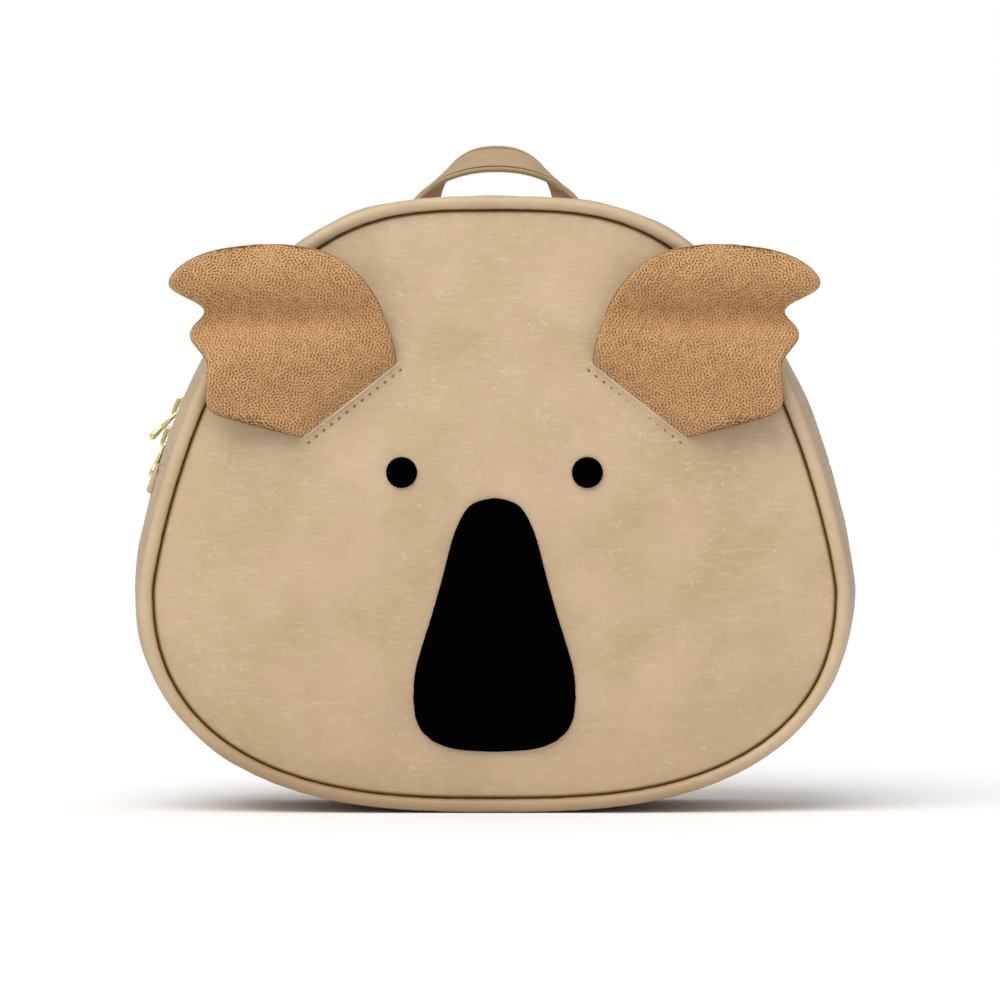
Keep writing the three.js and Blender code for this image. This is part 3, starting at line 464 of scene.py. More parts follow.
def trace_reach(angle):
    """Distance from the middle of the widest height to the seam: the r at which the share of the
    half width to its power and the share of the reach to its power add up to 1, found by halving."""
    dx, dz = np.cos(angle), np.sin(angle)
    across, up, reach = (np.where(dz >= 0, UPPER[k], LOWER[k]) for k in ("across", "up", "reach"))
    near, far = np.zeros_like(angle), np.full_like(angle, 600.0)
    for _ in range(50):
        r = (near + far) / 2
        level = (np.abs(r * dx) / (FACE_WIDTH / 2)) ** across + (np.abs(r * dz) / reach) ** up
        near, far = np.where(level > 1, near, r), np.where(level > 1, r, far)
    return near


ANGLE = np.linspace(-np.pi / 2, 1.5 * np.pi, 4321)
REACH = trace_reach(ANGLE)
LINE_X, LINE_Z = REACH * np.cos(ANGLE), WIDEST_Z + REACH * np.sin(ANGLE)
LINE_RUN = np.append(0, np.cumsum(np.hypot(np.diff(LINE_X), np.diff(LINE_Z))))
LENGTH = LINE_RUN[-1]


def turned_out(reach=12):
    """Outward direction at each point of the line, from the points a few steps to each side."""
    ahead = [np.roll(v[:-1], -reach) - np.roll(v[:-1], reach) for v in (LINE_X, LINE_Z)]
    size = np.hypot(*ahead)
    return [np.append(v, v[0]) for v in (ahead[1] / size, -ahead[0] / size)]


OUT_X, OUT_Z = turned_out()


def outline(run):
    """Place on the outline and outward direction there, at a running length: x, z, out x, out z."""
    run = np.mod(run, LENGTH)
    return [np.interp(run, LINE_RUN, v) for v in (LINE_X, LINE_Z, OUT_X, OUT_Z)]


def seam_point(run, outside, y, floor=0.0):
    """Point at a distance outside the seam line and at a depth, kept above a floor level."""
    x, z, out_x, out_z = outline(run)
    height = np.maximum(z + out_z * outside, floor)
    return np.stack(np.broadcast_arrays(x + out_x * outside, y, height), -1)


def seam_share(x, z):
    """Share of the way from the middle of the widest height to the seam."""
    angle = np.arctan2(z - WIDEST_Z, x)
    angle = np.where(angle < -np.pi / 2, angle + 2 * np.pi, angle)
    return np.hypot(x, z - WIDEST_Z) / np.interp(angle, ANGLE, REACH)


def front_y(x, z):
    """Outer surface of the domed face."""
    return -HALF_DEPTH - FACE_DOME * (1 - np.minimum(seam_share(x, z), 1.1) ** 3)


def back_y(x, z):
    """Outer surface of the slightly domed back."""
    return HALF_DEPTH + BACK_DOME * (1 - np.minimum(seam_share(x, z), 1.1) ** 3)


def run_at_height(height):
    """Running length at which the right side passes a height."""
    rising = LINE_RUN < LENGTH / 2
    return np.interp(height, LINE_Z[rising], LINE_RUN[rising])


print("seam length:", round(LENGTH, 1), "mm")

# %% [markdown]
# Real leather is never quite smooth. A few dozen sine waves of random direction, with fixed seeds,
# make soft lumps that are the same on every run.

# %% Soft lumps and soft steps
def smoothstep(value, low, high):
    """Rises from 0 to 1 between two values, level at both ends."""
    s = np.clip((value - low) / (high - low), 0, 1)
    return s * s * (3 - 2 * s)


def rounded(distance, reach):
    """Height of a rounded edge, along a quarter circle: 0 at the edge and 1 from one reach on."""
    return np.sqrt(1 - np.clip(1 - distance / reach, 0, 1) ** 2)


def lumps(u, v, size, seed, waves=14, shortest=0.7, longest=1.5):
    """Soft random lumps from about -1 to 1: sine waves from all sides, of about one size, summed."""
    random = np.random.default_rng(seed)
    total = np.zeros(np.broadcast(u, v).shape)
    for _ in range(waves):
        turn, phase = random.uniform(0, 2 * np.pi, 2)
        wave = 2 * np.pi / (size * random.uniform(shortest, longest))
        total += np.sin(wave * (u * np.cos(turn) + v * np.sin(turn)) + phase)
    return total / math.sqrt(waves)


# %% [markdown]
# ## The face and the back
# The face is one piece of leather over a thin padding, domed by what is inside. Near the seam it
# dives under the piping and leaves a narrow dark crease, and small puckers run into it from the
# stitches. A polar grid from the middle to the seam suits that: its rings lie along the seam, so the
# roll at the edge needs no extra faces. A subdivided plane would cut the seam into steps.

# %% Face and back panels
WALL = 2
ROLL = 1.6


def panel(dome, side, seed, turns=480, rings=60):
    """Domed panel: rings are shares of the way to the seam, the depth falls with the cube of the
    share, the last millimetres turn in along a quarter circle and out to the piping, and puckers
    fade from the seam."""
    run = np.arange(turns)[:, None] * LENGTH / turns
    share = 1 - (1 - np.linspace(0, 1, rings)[None]) ** 1.6
    x, z, out_x, out_z = outline(run)
    to_seam = (1 - share) * np.hypot(x, z - WIDEST_Z)
    meet = 0.35 * (1 - smoothstep(to_seam, 0, 0.8))
    x, z = x * share + out_x * meet, WIDEST_Z + (z - WIDEST_Z) * share + out_z * meet
    roll = ROLL * (1 - rounded(to_seam, ROLL))
    pucker = 0.22 * np.sin(2 * np.pi * run / 8.3 + 1.4 * lumps(run, 0 * run, 60, seed))
    pucker = pucker * np.exp(-to_seam / 5) * np.clip(to_seam / 2, 0, 1)
    soft = 0.35 * lumps(x, z, 48, seed + 1) * np.clip(to_seam / 20, 0, 1)
    y = HALF_DEPTH + dome * (1 - share**3) + soft + pucker - roll
    outer = np.stack([x, side * y, z], -1)
    points, quads = wall(outer, outer - [0, side * WALL, 0], ring=True, pole=True)
    # Painted shade: the crease value paints the leather dark brown within about a millimetre and a half
    # of the seam.
    crease = (1 - smoothstep(to_seam, 0.3, 1.5)).ravel()
    return points, quads, np.concatenate([crease, crease])


for name, dome, side, seed in (("face", FACE_DOME, -1, 5), ("back", BACK_DOME, 1, 11)):
    points, quads, crease = panel(dome, side, seed)
    add_piece(f"{name}_leather", points, quads, LEATHER, "leather", [f"{name}_panel"], depth=crease)

# %% [markdown]
# ## The piping
# Piping is a cord wrapped in a strip of the same leather and caught in the seam. It is a tube along
# the outline, but not a perfect one: the leather wrinkles across it where it bends, and it is a
# little flat where it meets the panels. The formula gives the tube's radius a small ripple.

# %% Piping of both seams
PIPING_RADIUS = 2.8
SEAM_GAP = 0.3


def circle(steps):
    """Angles of a full turn in equal steps."""
    return 2 * np.pi * np.arange(steps) / steps


def piping(y, seed, turns=720, sides=16):
    """Tube along the outline: a circle beside the seam whose radius ripples by a few hundredths. Its
    depth value, painted as dark brown shade, is high along the side that meets the panel."""
    run = np.arange(turns)[:, None] * LENGTH / turns
    angle = circle(sides)[None]
    ripple = 0.05 * lumps(run, 6 * angle, 7, seed) + 0.04 * lumps(run, angle, 22, seed + 1)
    radius = PIPING_RADIUS + ripple
    outside = SEAM_GAP + PIPING_RADIUS + radius * np.cos(angle)
    points, quads = sweep(seam_point(run, outside, y + radius * np.sin(angle)), ring=True)
    return points, quads, (0.7 * smoothstep(-np.cos(angle), 0.8, 1) + 0 * run).ravel()


for name, y, seed in (("face", -HALF_DEPTH, 3), ("back", HALF_DEPTH, 7)):
    points, quads, crease = piping(y, seed)
    add_piece(f"{name}_piping_leather", points, quads, LEATHER_PIPING, "leather",
              [f"{name}_piping"], depth=crease)

# %% [markdown]
# ## The gusset
# The band between the two seams is called the gusset. It swells out between them, most at the sides
# where the bag is fullest, and lies flat underneath. Over the top it is cut in two strips with the
# zip between them. Each strip is folded under at the zip, so its edge is round.

# %% Shape of the gusset
GUSSET_EDGE_Y = HALF_DEPTH - PIPING_RADIUS - SEAM_GAP
GUSSET_EDGE_OUT = SEAM_GAP + PIPING_RADIUS
BULGE_CENTRE_Z = SEAM_BOTTOM + FACE_HEIGHT * 0.473
BULGE_SIDE_ANGLE = math.radians(15)
BULGE = {"side": 4.5, "all round": 2, "top": 0.1}
ZIP_END_HEIGHT = 143.4
JOIN_RUN = run_at_height(ZIP_END_HEIGHT)
ZIP_FROM, ZIP_TO = JOIN_RUN, LENGTH - JOIN_RUN
SLOT_EDGE = 6


def gusset_out(run, y):
    """Distance of the gusset outside the seam: from behind the piping it swells by a power curve to
    a crest, which stands further out at the sides and on top than underneath."""
    x, z, _, _ = outline(run)
    angle = np.arctan2(z - BULGE_CENTRE_Z, np.abs(x))
    side = np.maximum(np.cos(angle - BULGE_SIDE_ANGLE), 0) ** 4
    crest = SEAM_GAP + 2 * PIPING_RADIUS + BULGE["side"] * side + BULGE["all round"]
    crest = crest + BULGE["top"] * (1 + np.sin(angle))
    swell = (1 - np.minimum(np.abs(y) / GUSSET_EDGE_Y, 1) ** 2.2) ** 0.75
    return GUSSET_EDGE_OUT + (crest - GUSSET_EDGE_OUT) * swell


def gusset_skin(start, end, y, seed, rows):
    """A stretch of the gusset between two running lengths. Its surface has soft lumps, fine puckers
    beside the piping, and edges rounded over where it is folded at the zip and at the joins."""
    run = np.linspace(start, end, rows)[:, None]
    y = y[None]
    to_piping = GUSSET_EDGE_Y - np.abs(y)
    to_join = np.minimum(run - start, end - run)
    to_slot = np.where(np.min(np.abs(y)) > 1, np.abs(y) - SLOT_EDGE, 99)
    edge = np.minimum(to_join, to_slot)
    fold = 1.1 * (1 - rounded(to_slot, 1.4))
    fold = fold + 0.35 * (1 - rounded(to_join, 0.8))
    press = 0.3 * np.exp(-(((edge - 3.2) / 0.9) ** 2))
    soft = 0.3 * lumps(run, y, 30, seed) * np.clip(to_piping / 8, 0, 1) * np.clip(edge / 8, 0, 1)
    pucker = 0.25 * np.sin(2 * np.pi * run / 7.1 + lumps(run, 0 * y, 45, seed + 1))
    pucker = pucker * np.exp(-to_piping / 5) * np.clip(to_piping / 2, 0, 1)
    out = gusset_out(run, y) + soft + pucker - fold - press
    outer = seam_point(run, out, y)
    inner = seam_point(run, gusset_out(run, y) - WALL, y, WALL)
    return wall(outer, inner)


# %% Lower gusset and the two strips beside the zip
def eased(start, end, steps, power=1.5):
    """Values from start to end, closer together near both ends."""
    s = np.linspace(-1, 1, steps)
    s = np.sign(s) * (1 - (1 - np.abs(s)) ** power)
    return start + (end - start) * (s + 1) / 2


band = eased(-GUSSET_EDGE_Y, -SLOT_EDGE, 26)
add_piece("gusset_under", *gusset_skin(0.05 - JOIN_RUN, JOIN_RUN - 0.05,
          eased(-GUSSET_EDGE_Y, GUSSET_EDGE_Y, 54), 21, 320), LEATHER_DARK, "leather", ["gusset_lower"])
add_piece("gusset_strip_front", *gusset_skin(ZIP_FROM, ZIP_TO, band, 23, 300), LEATHER_DARK,
          "leather", ["gusset_zip_front"])
add_piece("gusset_strip_rear", *gusset_skin(ZIP_FROM, ZIP_TO, -band[::-1], 25, 300), LEATHER_DARK,
          "leather", ["gusset_zip_rear"])

# %% [markdown]
# ## Stitches
# Each stitch is a short loop of thread that dips into the leather at both ends. One such loop, thin
# at its ends and bowed in the middle, is set down hundreds of times along a row. The row is a list
# of points on the leather with the leather's outward direction at each.

# %% One stitch, set down along a row
STITCH_PITCH, STITCH_LENGTH, THREAD_RADIUS = 4.0, 2.9, 0.32
STITCH_SINK = 0.5
FROM_EDGE = 3.2


def unit(arrows):
    """Arrows of any length made one long."""
    return arrows / np.linalg.norm(arrows, axis=-1, keepdims=True)


def read_line(at, steps, points):
    """Points of a line read at any step between its own ones."""
    return np.stack([np.interp(at, steps, points[:, k]) for k in range(3)], -1)


def stitch_shape(length=STITCH_LENGTH, radius=THREAD_RADIUS):
    """A bowed thread: its middle line rises as a parabola and its radius closes at both ends."""
    s = np.linspace(-1, 1, 9)[:, None]
    angle = circle(6)[None]
    thick = radius * np.sqrt(np.maximum(1 - s**4, 0))
    rise = radius * (0.5 - 1.3 * s**2)
    return np.stack([
        s * length / 2 + 0 * angle,
        thick * np.cos(angle),
        rise + thick * np.sin(angle),
    ], -1).reshape(-1, 3), grid_quads(9, 6, tube=True)


def resample(points, pitch):
    """Places at equal steps along a line of points, with the direction along it."""
    steps = np.append(0, np.cumsum(np.linalg.norm(np.diff(points, axis=0), axis=1)))
    count = max(int(steps[-1] / pitch), 1)
    at = (np.arange(count) + 0.5) * steps[-1] / count
    along = read_line(at + 0.4, steps, points) - read_line(at - 0.4, steps, points)
    return read_line(at, steps, points), unit(along)


def stitch_row(points, up, pitch=STITCH_PITCH, length=STITCH_LENGTH):
    """A row of stitches along a line. up is the outward direction, one for all or one a point."""
    middle, along = resample(points, pitch)
    if np.ndim(up) > 1:
        at = (np.arange(len(middle)) + 0.5) / len(middle)
        up = read_line(at, np.linspace(0, 1, len(up)), up)
    up = np.broadcast_to(up, middle.shape)
    up = up - (up * along).sum(1, keepdims=True) * along
    return copies(*stitch_shape(length), middle, along, unit(up))


def seam_stitches(run, y):
    """Stitches sunk into the gusset, along a line of running lengths and depths."""
    run, y = np.broadcast_arrays(run, y)
    points = seam_point(run, gusset_out(run, y) - STITCH_SINK, y)
    _, _, out_x, out_z = outline(run)
    return stitch_row(points, np.stack([out_x, 0 * out_x, out_z], -1))


rows = []
for side in (-1, 1):
    run = np.linspace(ZIP_FROM + 3, ZIP_TO - 3, 700)
    rows.append(seam_stitches(run, side * (SLOT_EDGE + FROM_EDGE)))
    y = side * np.linspace(SLOT_EDGE + 3, GUSSET_EDGE_Y - 4, 60)
    rows += [seam_stitches(run, y) for run in (ZIP_FROM + FROM_EDGE, ZIP_TO - FROM_EDGE)]
y = np.linspace(-GUSSET_EDGE_Y + 4, GUSSET_EDGE_Y - 4, 90)
rows += [seam_stitches(run, y) for run in (ZIP_FROM - 3.5, ZIP_TO + 3.5)]
add_piece("stitches_gusset", *join(rows), THREAD, "webbing")

# %% [markdown]
# ## The zip
# A woven tape lies under each strip and carries one row of metal teeth. The rows mesh in the middle:
# a tooth of one row sits in the gap between two of the other. One tooth is a rounded block with a
# narrower head, again set down along the line by numbers alone.

# %% Tapes and teeth
CHAIN_EDGE, TAPE_EDGE, TAPE_THICKNESS = 3.1, 11.1, 0.8
TOOTH_PITCH = 1.6
TOOTH = {"along": 0.5, "across": 1.75, "up": 1.15, "from middle": 1.15}
BOXY = 0.45


def tape_top(run):
    """The tape lies just under the strip's inner face, level from edge to edge."""
    return gusset_out(run, TAPE_EDGE) - WALL - SEAM_GAP


def tape(low, high, rows=360, columns=10):
    """A flat band along the zip with its cut laid out in millimetres."""
    run = np.linspace(ZIP_FROM, ZIP_TO, rows)[:, None]
    y = np.linspace(low, high, columns)[None]
    outer = seam_point(run, tape_top(run), y)
    inner = seam_point(run, tape_top(run) - TAPE_THICKNESS, y)
    points, quads = wall(outer, inner)
    cut = np.stack(np.broadcast_arrays(y, run), -1).reshape(-1, 2)
    return points, quads, np.concatenate([cut, cut])


def push(value, power):
    """A wave pushed out towards a square one."""
    return np.sign(value) * np.abs(value) ** power


def tooth_shape():
    """A rounded block: a ball whose coordinates are pushed out to a box by a power under one."""
    a = np.linspace(-np.pi / 2, np.pi / 2, 6)[:, None]
    b = circle(8)[None]
    x = TOOTH["along"] * push(np.cos(a), BOXY) * push(np.cos(b), BOXY)
    y = TOOTH["across"] * push(np.cos(a), BOXY) * push(np.sin(b), BOXY)
    z = TOOTH["up"] * push(np.sin(a), BOXY) + 0 * b
    x = x * (1 - 0.2 * y / TOOTH["across"])
    return np.stack([x, y, z], -1).reshape(-1, 3), grid_quads(6, 8, tube=True)


def teeth(start, end):
    """Two rows of teeth between two running lengths, half a pitch apart."""
    parts = []
    for side in (-1, 1):
        run = np.arange(start + (1 + side) * TOOTH_PITCH / 4 + 0.5, end - 0.5, TOOTH_PITCH)
        out, y = tape_top(run) - TAPE_THICKNESS / 2, side * TOOTH["from middle"]
        middle = seam_point(run, out, y)
        ahead = seam_point(run + 0.5, out, y) - seam_point(run - 0.5, out, y)
        along = side * unit(ahead)
        _, _, out_x, out_z = outline(run)
        parts.append(copies(*tooth_shape(), middle, along, np.stack([out_x, 0 * out_x, out_z], -1)))
    return join(parts)


SLIDER_LENGTH = 10.6
LOWER_RUN = ZIP_TO - 11.2
UPPER_RUN = LOWER_RUN - 13.2
SLIDER_ROOM = SLIDER_LENGTH / 2 + SEAM_GAP
for name, low, high in (("front", -TAPE_EDGE, -CHAIN_EDGE), ("rear", CHAIN_EDGE, TAPE_EDGE)):
    points, quads, cut = tape(low, high)
    add_piece(f"tape_{name}", points, quads, TAPE, "zip_tape", [f"zip_tape_{name}"], uv=cut)
for name, low, high, solid in (
    ("closed", ZIP_FROM + SEAM_GAP, UPPER_RUN - SLIDER_ROOM, "zip_chain"),
    ("end", LOWER_RUN + SLIDER_ROOM, ZIP_TO - SEAM_GAP, "zip_chain_end"),
):
    add_piece(f"teeth_{name}", *teeth(low, high), GOLD, "gold_metal", [solid])

# %% [markdown]
# A slider is two plates on a neck with a bridge on top, and the puller's ring runs under the bridge.
# All of it is cast metal, so no edge is sharp. Plates are balls pushed out towards boxes, the bridge
# and the ring are bars along rounded paths, and the tongue swells into a round end. Each is drawn
# flat in its own frame, then set on the zip. The pullers ride on their own bodies, because they swing.

# %% Shapes of cast metal
def pebble(half, middle, plan=0.5, edge=0.4, rows=14, columns=32):
    """A ball pushed out to a box: half sizes times powers of the cosines and sines of two angles."""
    a = np.linspace(-np.pi / 2, np.pi / 2, rows)[:, None]
    b = circle(columns)[None]
    x = half[0] * push(np.cos(a), edge) * push(np.cos(b), plan)
    z = half[2] * push(np.cos(a), edge) * push(np.sin(b), plan)
    y = half[1] * push(np.sin(a), edge) + 0 * b
    return np.stack([x, y, z], -1).reshape(-1, 3) + middle, grid_quads(rows, columns, tube=True)


def bar(line, side, half_side, half_thick, ring=False, columns=14, power=0.6):
    """A bar along a path: its section is a rounded box, half_side wide along a fixed direction."""
    ahead = np.roll(line, -1, 0) - np.roll(line, 1, 0) if ring else np.gradient(line, axis=0)
    ahead = unit(ahead)
    up = np.cross(ahead, side)
    turn = circle(columns)
    a, b = half_side * push(np.cos(turn), power), half_thick * push(np.sin(turn), power)
    return sweep(line[:, None] + side * a[None, :, None] + up[:, None] * b[None, :, None], ring)


# %% Slider and puller in their own frame
BRIDGE = {"reach": 4.8, "height": 3.3, "bar": 1.85, "width": 2.6}
PIN_ALONG, PIN_HEIGHT = 2.643, 0.85
PULLER_FROM, PULLER_END = 4.6, 16
RING = {"half length": 2.55, "half width": 2.0, "half thick": 0.5}
SLIDER_LIFT = 2.5


def slider_body():
    """Two rounded plates that narrow to a nose, a neck between them, a crown on the upper plate and a
    bridge over it, whose path is half a superellipse."""
    plates = []
    for level in (-0.5, -4.5):
        points, quads = pebble((5.3, 0.5, 4.8), (0, level, 0), 0.55, 0.35)
        narrow = 1 - 0.38 * smoothstep(points[:, 0:1], 1.5, 5.3)
        plates.append((points * np.concatenate([1 + 0 * narrow, 1 + 0 * narrow, narrow], 1), quads))
    neck = pebble((2.1, 2.4, 1.2), (2.4, -2.5, 0), 0.4, 0.3)
    crown = pebble((2.2, 1.0, 1.1), (-2.3, 0.7, 0))
    turn = np.linspace(0, np.pi, 40)
    reach, height = BRIDGE["reach"] - BRIDGE["bar"] / 2, BRIDGE["height"] - BRIDGE["bar"] / 2
    x, y = -reach * push(np.cos(turn), 0.35), height * np.sin(turn) ** 0.35 - 0.4
    arch = np.stack([x, y + 0.4 * smoothstep(y, -0.4, 0.6), 0 * turn], -1)
    bridge = bar(arch, np.array([0, 0, 1.0]), BRIDGE["width"] / 2, BRIDGE["bar"] / 2)
    return join([*plates, neck, crown, bridge])


def puller():
    """A ring round the bridge and a tongue: half widths and half thicknesses along its length, both
    closed by a quarter circle at the round end."""
    turn = circle(48)
    x = RING["half length"] - RING["half length"] * push(np.cos(turn), BOXY)
    ring = np.stack([x, 0 * turn, RING["half width"] * push(np.sin(turn), BOXY)], -1)
    half = RING["half thick"]
    ring = bar(ring, np.array([0, 1.0, 0]), half, half, ring=True, columns=10, power=0.8)
    share = 1 - (1 - np.linspace(0, 1, 30)) ** 1.5
    x = PULLER_FROM + (PULLER_END - PULLER_FROM) * share
    close = np.sqrt(1 - np.clip((share - 0.84) / 0.16, 0, 0.999) ** 2)
    wide = (2.5 - 0.75 * np.sin(np.pi * np.clip(share / 0.75, 0, 1)) ** 1.5) * close
    thick = (0.85 + 0.72 * share**1.3) * close
    angle = circle(20)
    y = thick[:, None] * push(np.sin(angle), 0.6)
    z = wide[:, None] * push(np.cos(angle), 0.6)
    tongue = sweep(np.stack([x[:, None] + 0 * y, y, z], -1))
    return join([ring, tongue])


def on_zip(shape, run, angle=0.0, pin=(0.0, 0.0)):
    """Turns a shape about its pin and sets it on the zip: x runs down the zip, y outwards, z back."""
    points, quads = shape
    x = points[:, 0] * np.cos(angle) - points[:, 1] * np.sin(angle) + pin[0]
    y = points[:, 0] * np.sin(angle) + points[:, 1] * np.cos(angle) + pin[1]
    middle = seam_point(run, tape_top(run) - TAPE_THICKNESS / 2 + SLIDER_LIFT, 0.0)
    _, _, out_x, out_z = outline(run)
    along, out = np.array([-out_z, 0, out_x]), np.array([out_x, 0, out_z])
    return middle + x[:, None] * along + y[:, None] * out + points[:, 2:3] * [0, 1, 0], quads


REST_ANGLES = {"upper": 24.26, "lower": 4.49}
for name, run in (("upper", UPPER_RUN), ("lower", LOWER_RUN)):
    add_piece(f"slider_{name}_cast", *on_zip(slider_body(), run), GOLD, "gold_metal",
              [f"zip_slider_{name}"])
    pin = (PIN_ALONG, PIN_HEIGHT)
    pin_place, _ = on_zip((np.zeros((1, 3)), None), run, pin=pin)
    print(f"pin of the {name} puller:", pin_place[0].round(2), "mm")
    add_piece(f"puller_{name}_cast", *on_zip(puller(), run, math.radians(REST_ANGLES[name]), pin), GOLD,
              "gold_metal", [f"zip_puller_{name}"], body=f"puller_{name}")

# %% [markdown]
# ## The ears
# Each ear is plush in front and leather behind, sewn into the face along a slanting line and free
# from there on: it stands off the face and folds once across, where a shadow runs through it. The
# outline is a short table of shares of the ear's height and width, read from the top down and drawn
# as a smooth curve. The relief column says how far each height stands forward.

# %% Outline and stance of an ear
EAR = {"inner_corner": 43, "width": 93.2, "top": 238.2, "height": 80.4}
EAR_ROWS = np.array([
    # down, inner edge, outer edge, relief
    (0.0, 0.49, 0.6, 0.2), (0.008, 0.41, 0.7, 0.27), (0.025, 0.337, 0.78, 0.4),
    (0.048, 0.28, 0.842, 0.55), (0.075, 0.235, 0.895, 0.7), (0.119, 0.18, 0.952, 0.9),
    (0.17, 0.137, 0.99, 1.0), (0.21, 0.11, 1.0, 0.8), (0.24, 0.09, 0.985, 0.55),
    (0.277, 0.07, 0.925, 0.1), (0.31, 0.055, 0.863, -0.5), (0.345, 0.042, 0.836, -1.0),
    (0.381, 0.03, 0.857, -0.9), (0.421, 0.018, 0.893, -0.5), (0.468, 0.004, 0.908, 0.05),
    (0.508, -0.006, 0.895, 0.4), (0.572, -0.018, 0.848, 0.85), (0.616, -0.022, 0.822, 1.0),
    (0.73, 0.103, 0.828, 0.8), (0.8, 0.18, 0.834, 0.5), (0.85, 0.235, 0.825, 0.3),
    (0.889, 0.278, 0.79, 0.15), (0.928, 0.32, 0.672, 0.05), (0.965, 0.361, 0.55, 0.0),
    (1.0, 0.4, 0.42, 0.0),
])
EAR_AWAY, EAR_WAVE = 11, 5
STAND_OFF = 0.45
SEWN_FROM, SEWN_TO = np.array([-0.022, 0.616]), np.array([0.4, 1.0])


def smooth_column(rows, column, at, width=0.012):
    """A table's column read at any height: straight between rows, then averaged over a short
    window so that the corners go."""
    fine = np.linspace(0, 1, 801)
    value = np.interp(fine, rows[:, 0], rows[:, column])
    reach = np.arange(-40, 41)
    weight = np.exp(-0.5 * (reach * (fine[1] / width)) ** 2)
    padded = np.pad(value, 40, mode="reflect", reflect_type="odd")
    return np.interp(at, fine, np.convolve(padded, weight / weight.sum(), mode="valid"))


def ear_place(down, share):
    """Across share, x and z of a place on the ear, from its share down and its share from the inner
    edge to the outer one."""
    inner, outer = (smooth_column(EAR_ROWS, k, down) for k in (1, 2))
    across = inner + (outer - inner) * share
    return across, EAR["inner_corner"] + EAR["width"] * across, EAR["top"] - EAR["height"] * down


def from_sewn_line(down, across):
    """Distance in millimetres of a place on the ear from the line along which it is sewn in."""
    scale = np.array([EAR["width"], EAR["height"]])
    start, along = SEWN_FROM * scale, (SEWN_TO - SEWN_FROM) * scale
    along = along / np.hypot(*along)
    beside = along[1] * (across * scale[0] - start[0]) - along[0] * (down * scale[1] - start[1])
    return np.maximum(beside, 0)


def ear_back_y(x, z, down, across):
    """Depth of the ear's back: it leaves the face along the sewn line, stands off it further and
    further and waves forward and back by its relief."""
    away = from_sewn_line(down, across)
    relief = smooth_column(EAR_ROWS, 3, down, 0.03)
    face = np.minimum(front_y(x, z), -39)
    stand = STAND_OFF + EAR_AWAY * (1 - np.exp(-away / 22))
    return face - stand - EAR_WAVE * relief * smoothstep(away, 4, 45)

# %% [markdown]
# Curly plush is packed with small loops of yarn, each a little over a millimetre. Hair particles
# would take millions of strands. Instead the surface itself is made of curls: sine waves of one
# length from all sides add up to wandering ridges with narrow gaps, like curled wool, and the same
# number colours the gaps. Along the sewn line the pile is low, because the seam presses it flat.

# %% Pile and borders
def wool(u, v, pitch, seed):
    """Wandering curls from 0 in the gaps to 1 on top: lumps of nearly one size, their tops levelled."""
    return smoothstep(lumps(u, v, pitch, seed, 40, 0.75, 1.35), -1.3, 0.2)


def edge_distance(x, z, line):
    """Distance of each place to the nearest point of a line, both seen from the front."""
    place = np.stack([x, z], -1).astype(np.float32)
    near = [np.sqrt(((row[:, None] - line[None]) ** 2).sum(-1).min(1)) for row in place]
    return np.stack(near)


def ear_grids(rows, columns):
    """Places of an ear, closer together at its edges: shares down and across, x and z, distance from
    the sewn line, and the border without that line."""
    down = eased(0, 1, rows, 1.35)[:, None]
    share = eased(0, 1, columns, 1.2)[None]
    across, x, z = ear_place(down, share)
    z = z + 0 * share
    edge = np.stack([x, z], -1)
    free = down[:, 0] < SEWN_FROM[1]
    border = np.concatenate([edge[0], edge[:, -1], edge[-1], edge[free, 0]]).astype(np.float32)
    return down + 0 * share, across, x, z, from_sewn_line(down, across), border


# %% Plush and backing of both ears
PLUSH_FROM, PLUSH_THICK = 1.5, 3.0
CURL_PITCH, CURL_HEIGHT = 1.15, 0.5


def ear_plush(side, rows=284, columns=290):
    """Front of an ear as a tube of closed sections. Each runs across the pile, which stands the
    pile's thickness in front of the ear's back, closes along a quarter circle at the free border and
    carries the curls, and comes back flat behind it."""
    down, across, x, z, away, border = ear_grids(rows, columns)
    y = ear_back_y(x, z, down, across)
    pressed = smoothstep(away, -1, 7)
    closing = rounded(edge_distance(x, z, border), 2.6)
    curl = wool(x, z, CURL_PITCH, 31)
    pile = PLUSH_THICK * closing * (0.25 + 0.75 * pressed)
    pile = pile + CURL_HEIGHT * (curl - 0.6) * (0.4 + 0.6 * closing)
    outward = (0.6 * curl - 0.9) * (1 - closing)
    centre = border.mean(0)
    way = np.stack([x - centre[0], z - centre[1]], -1)
    way = way / np.maximum(np.linalg.norm(way, axis=-1, keepdims=True), 1)
    base = y - 0.3 - (PLUSH_FROM - 0.3) * pressed
    front = np.stack([x + outward * way[..., 0], base - pile, z + outward * way[..., 1]], -1)
    few = np.linspace(columns - 1, 0, 14).astype(int)
    rear = np.stack([x, base, z], -1)[:, few]
    points, quads = sweep(np.concatenate([front, rear], 1) * [side, 1, 1])
    # Painted shade: the valley of the ear's fold adds a little to the depth value, so it is painted
    # darker.
    valley_shade = smoothstep(-smooth_column(EAR_ROWS, 3, down, 0.03), 0.0, 0.9)
    depth = np.concatenate([1 - curl + 0.1 * valley_shade, np.ones((rows, len(few)))], 1)
    return points, quads, np.concatenate([depth[:1], depth, depth[-1:]]).ravel()


def ear_backing(side, rows=110, columns=90):
    """Leather behind an ear, a hair larger all round than the plush and thin at the sewn line."""
    down, across, x, z, away, border = ear_grids(rows, columns)
    y = ear_back_y(x, z, down, across)
    centre = border.mean(0)
    x = x + 0.1 * (x - centre[0]) / 40
    z = z + 0.15 * (z - centre[1]) / 40
    bulge = 0.5 * np.sqrt(np.clip(edge_distance(x, z, border) / 2, 0, 1))
    outer = np.stack([side * x, y - 0.1 - 1.1 * smoothstep(away, 0, 6), z], -1)
    inner = np.stack([side * x, y + 0.5 - bulge, z], -1)
    return wall(outer, inner)


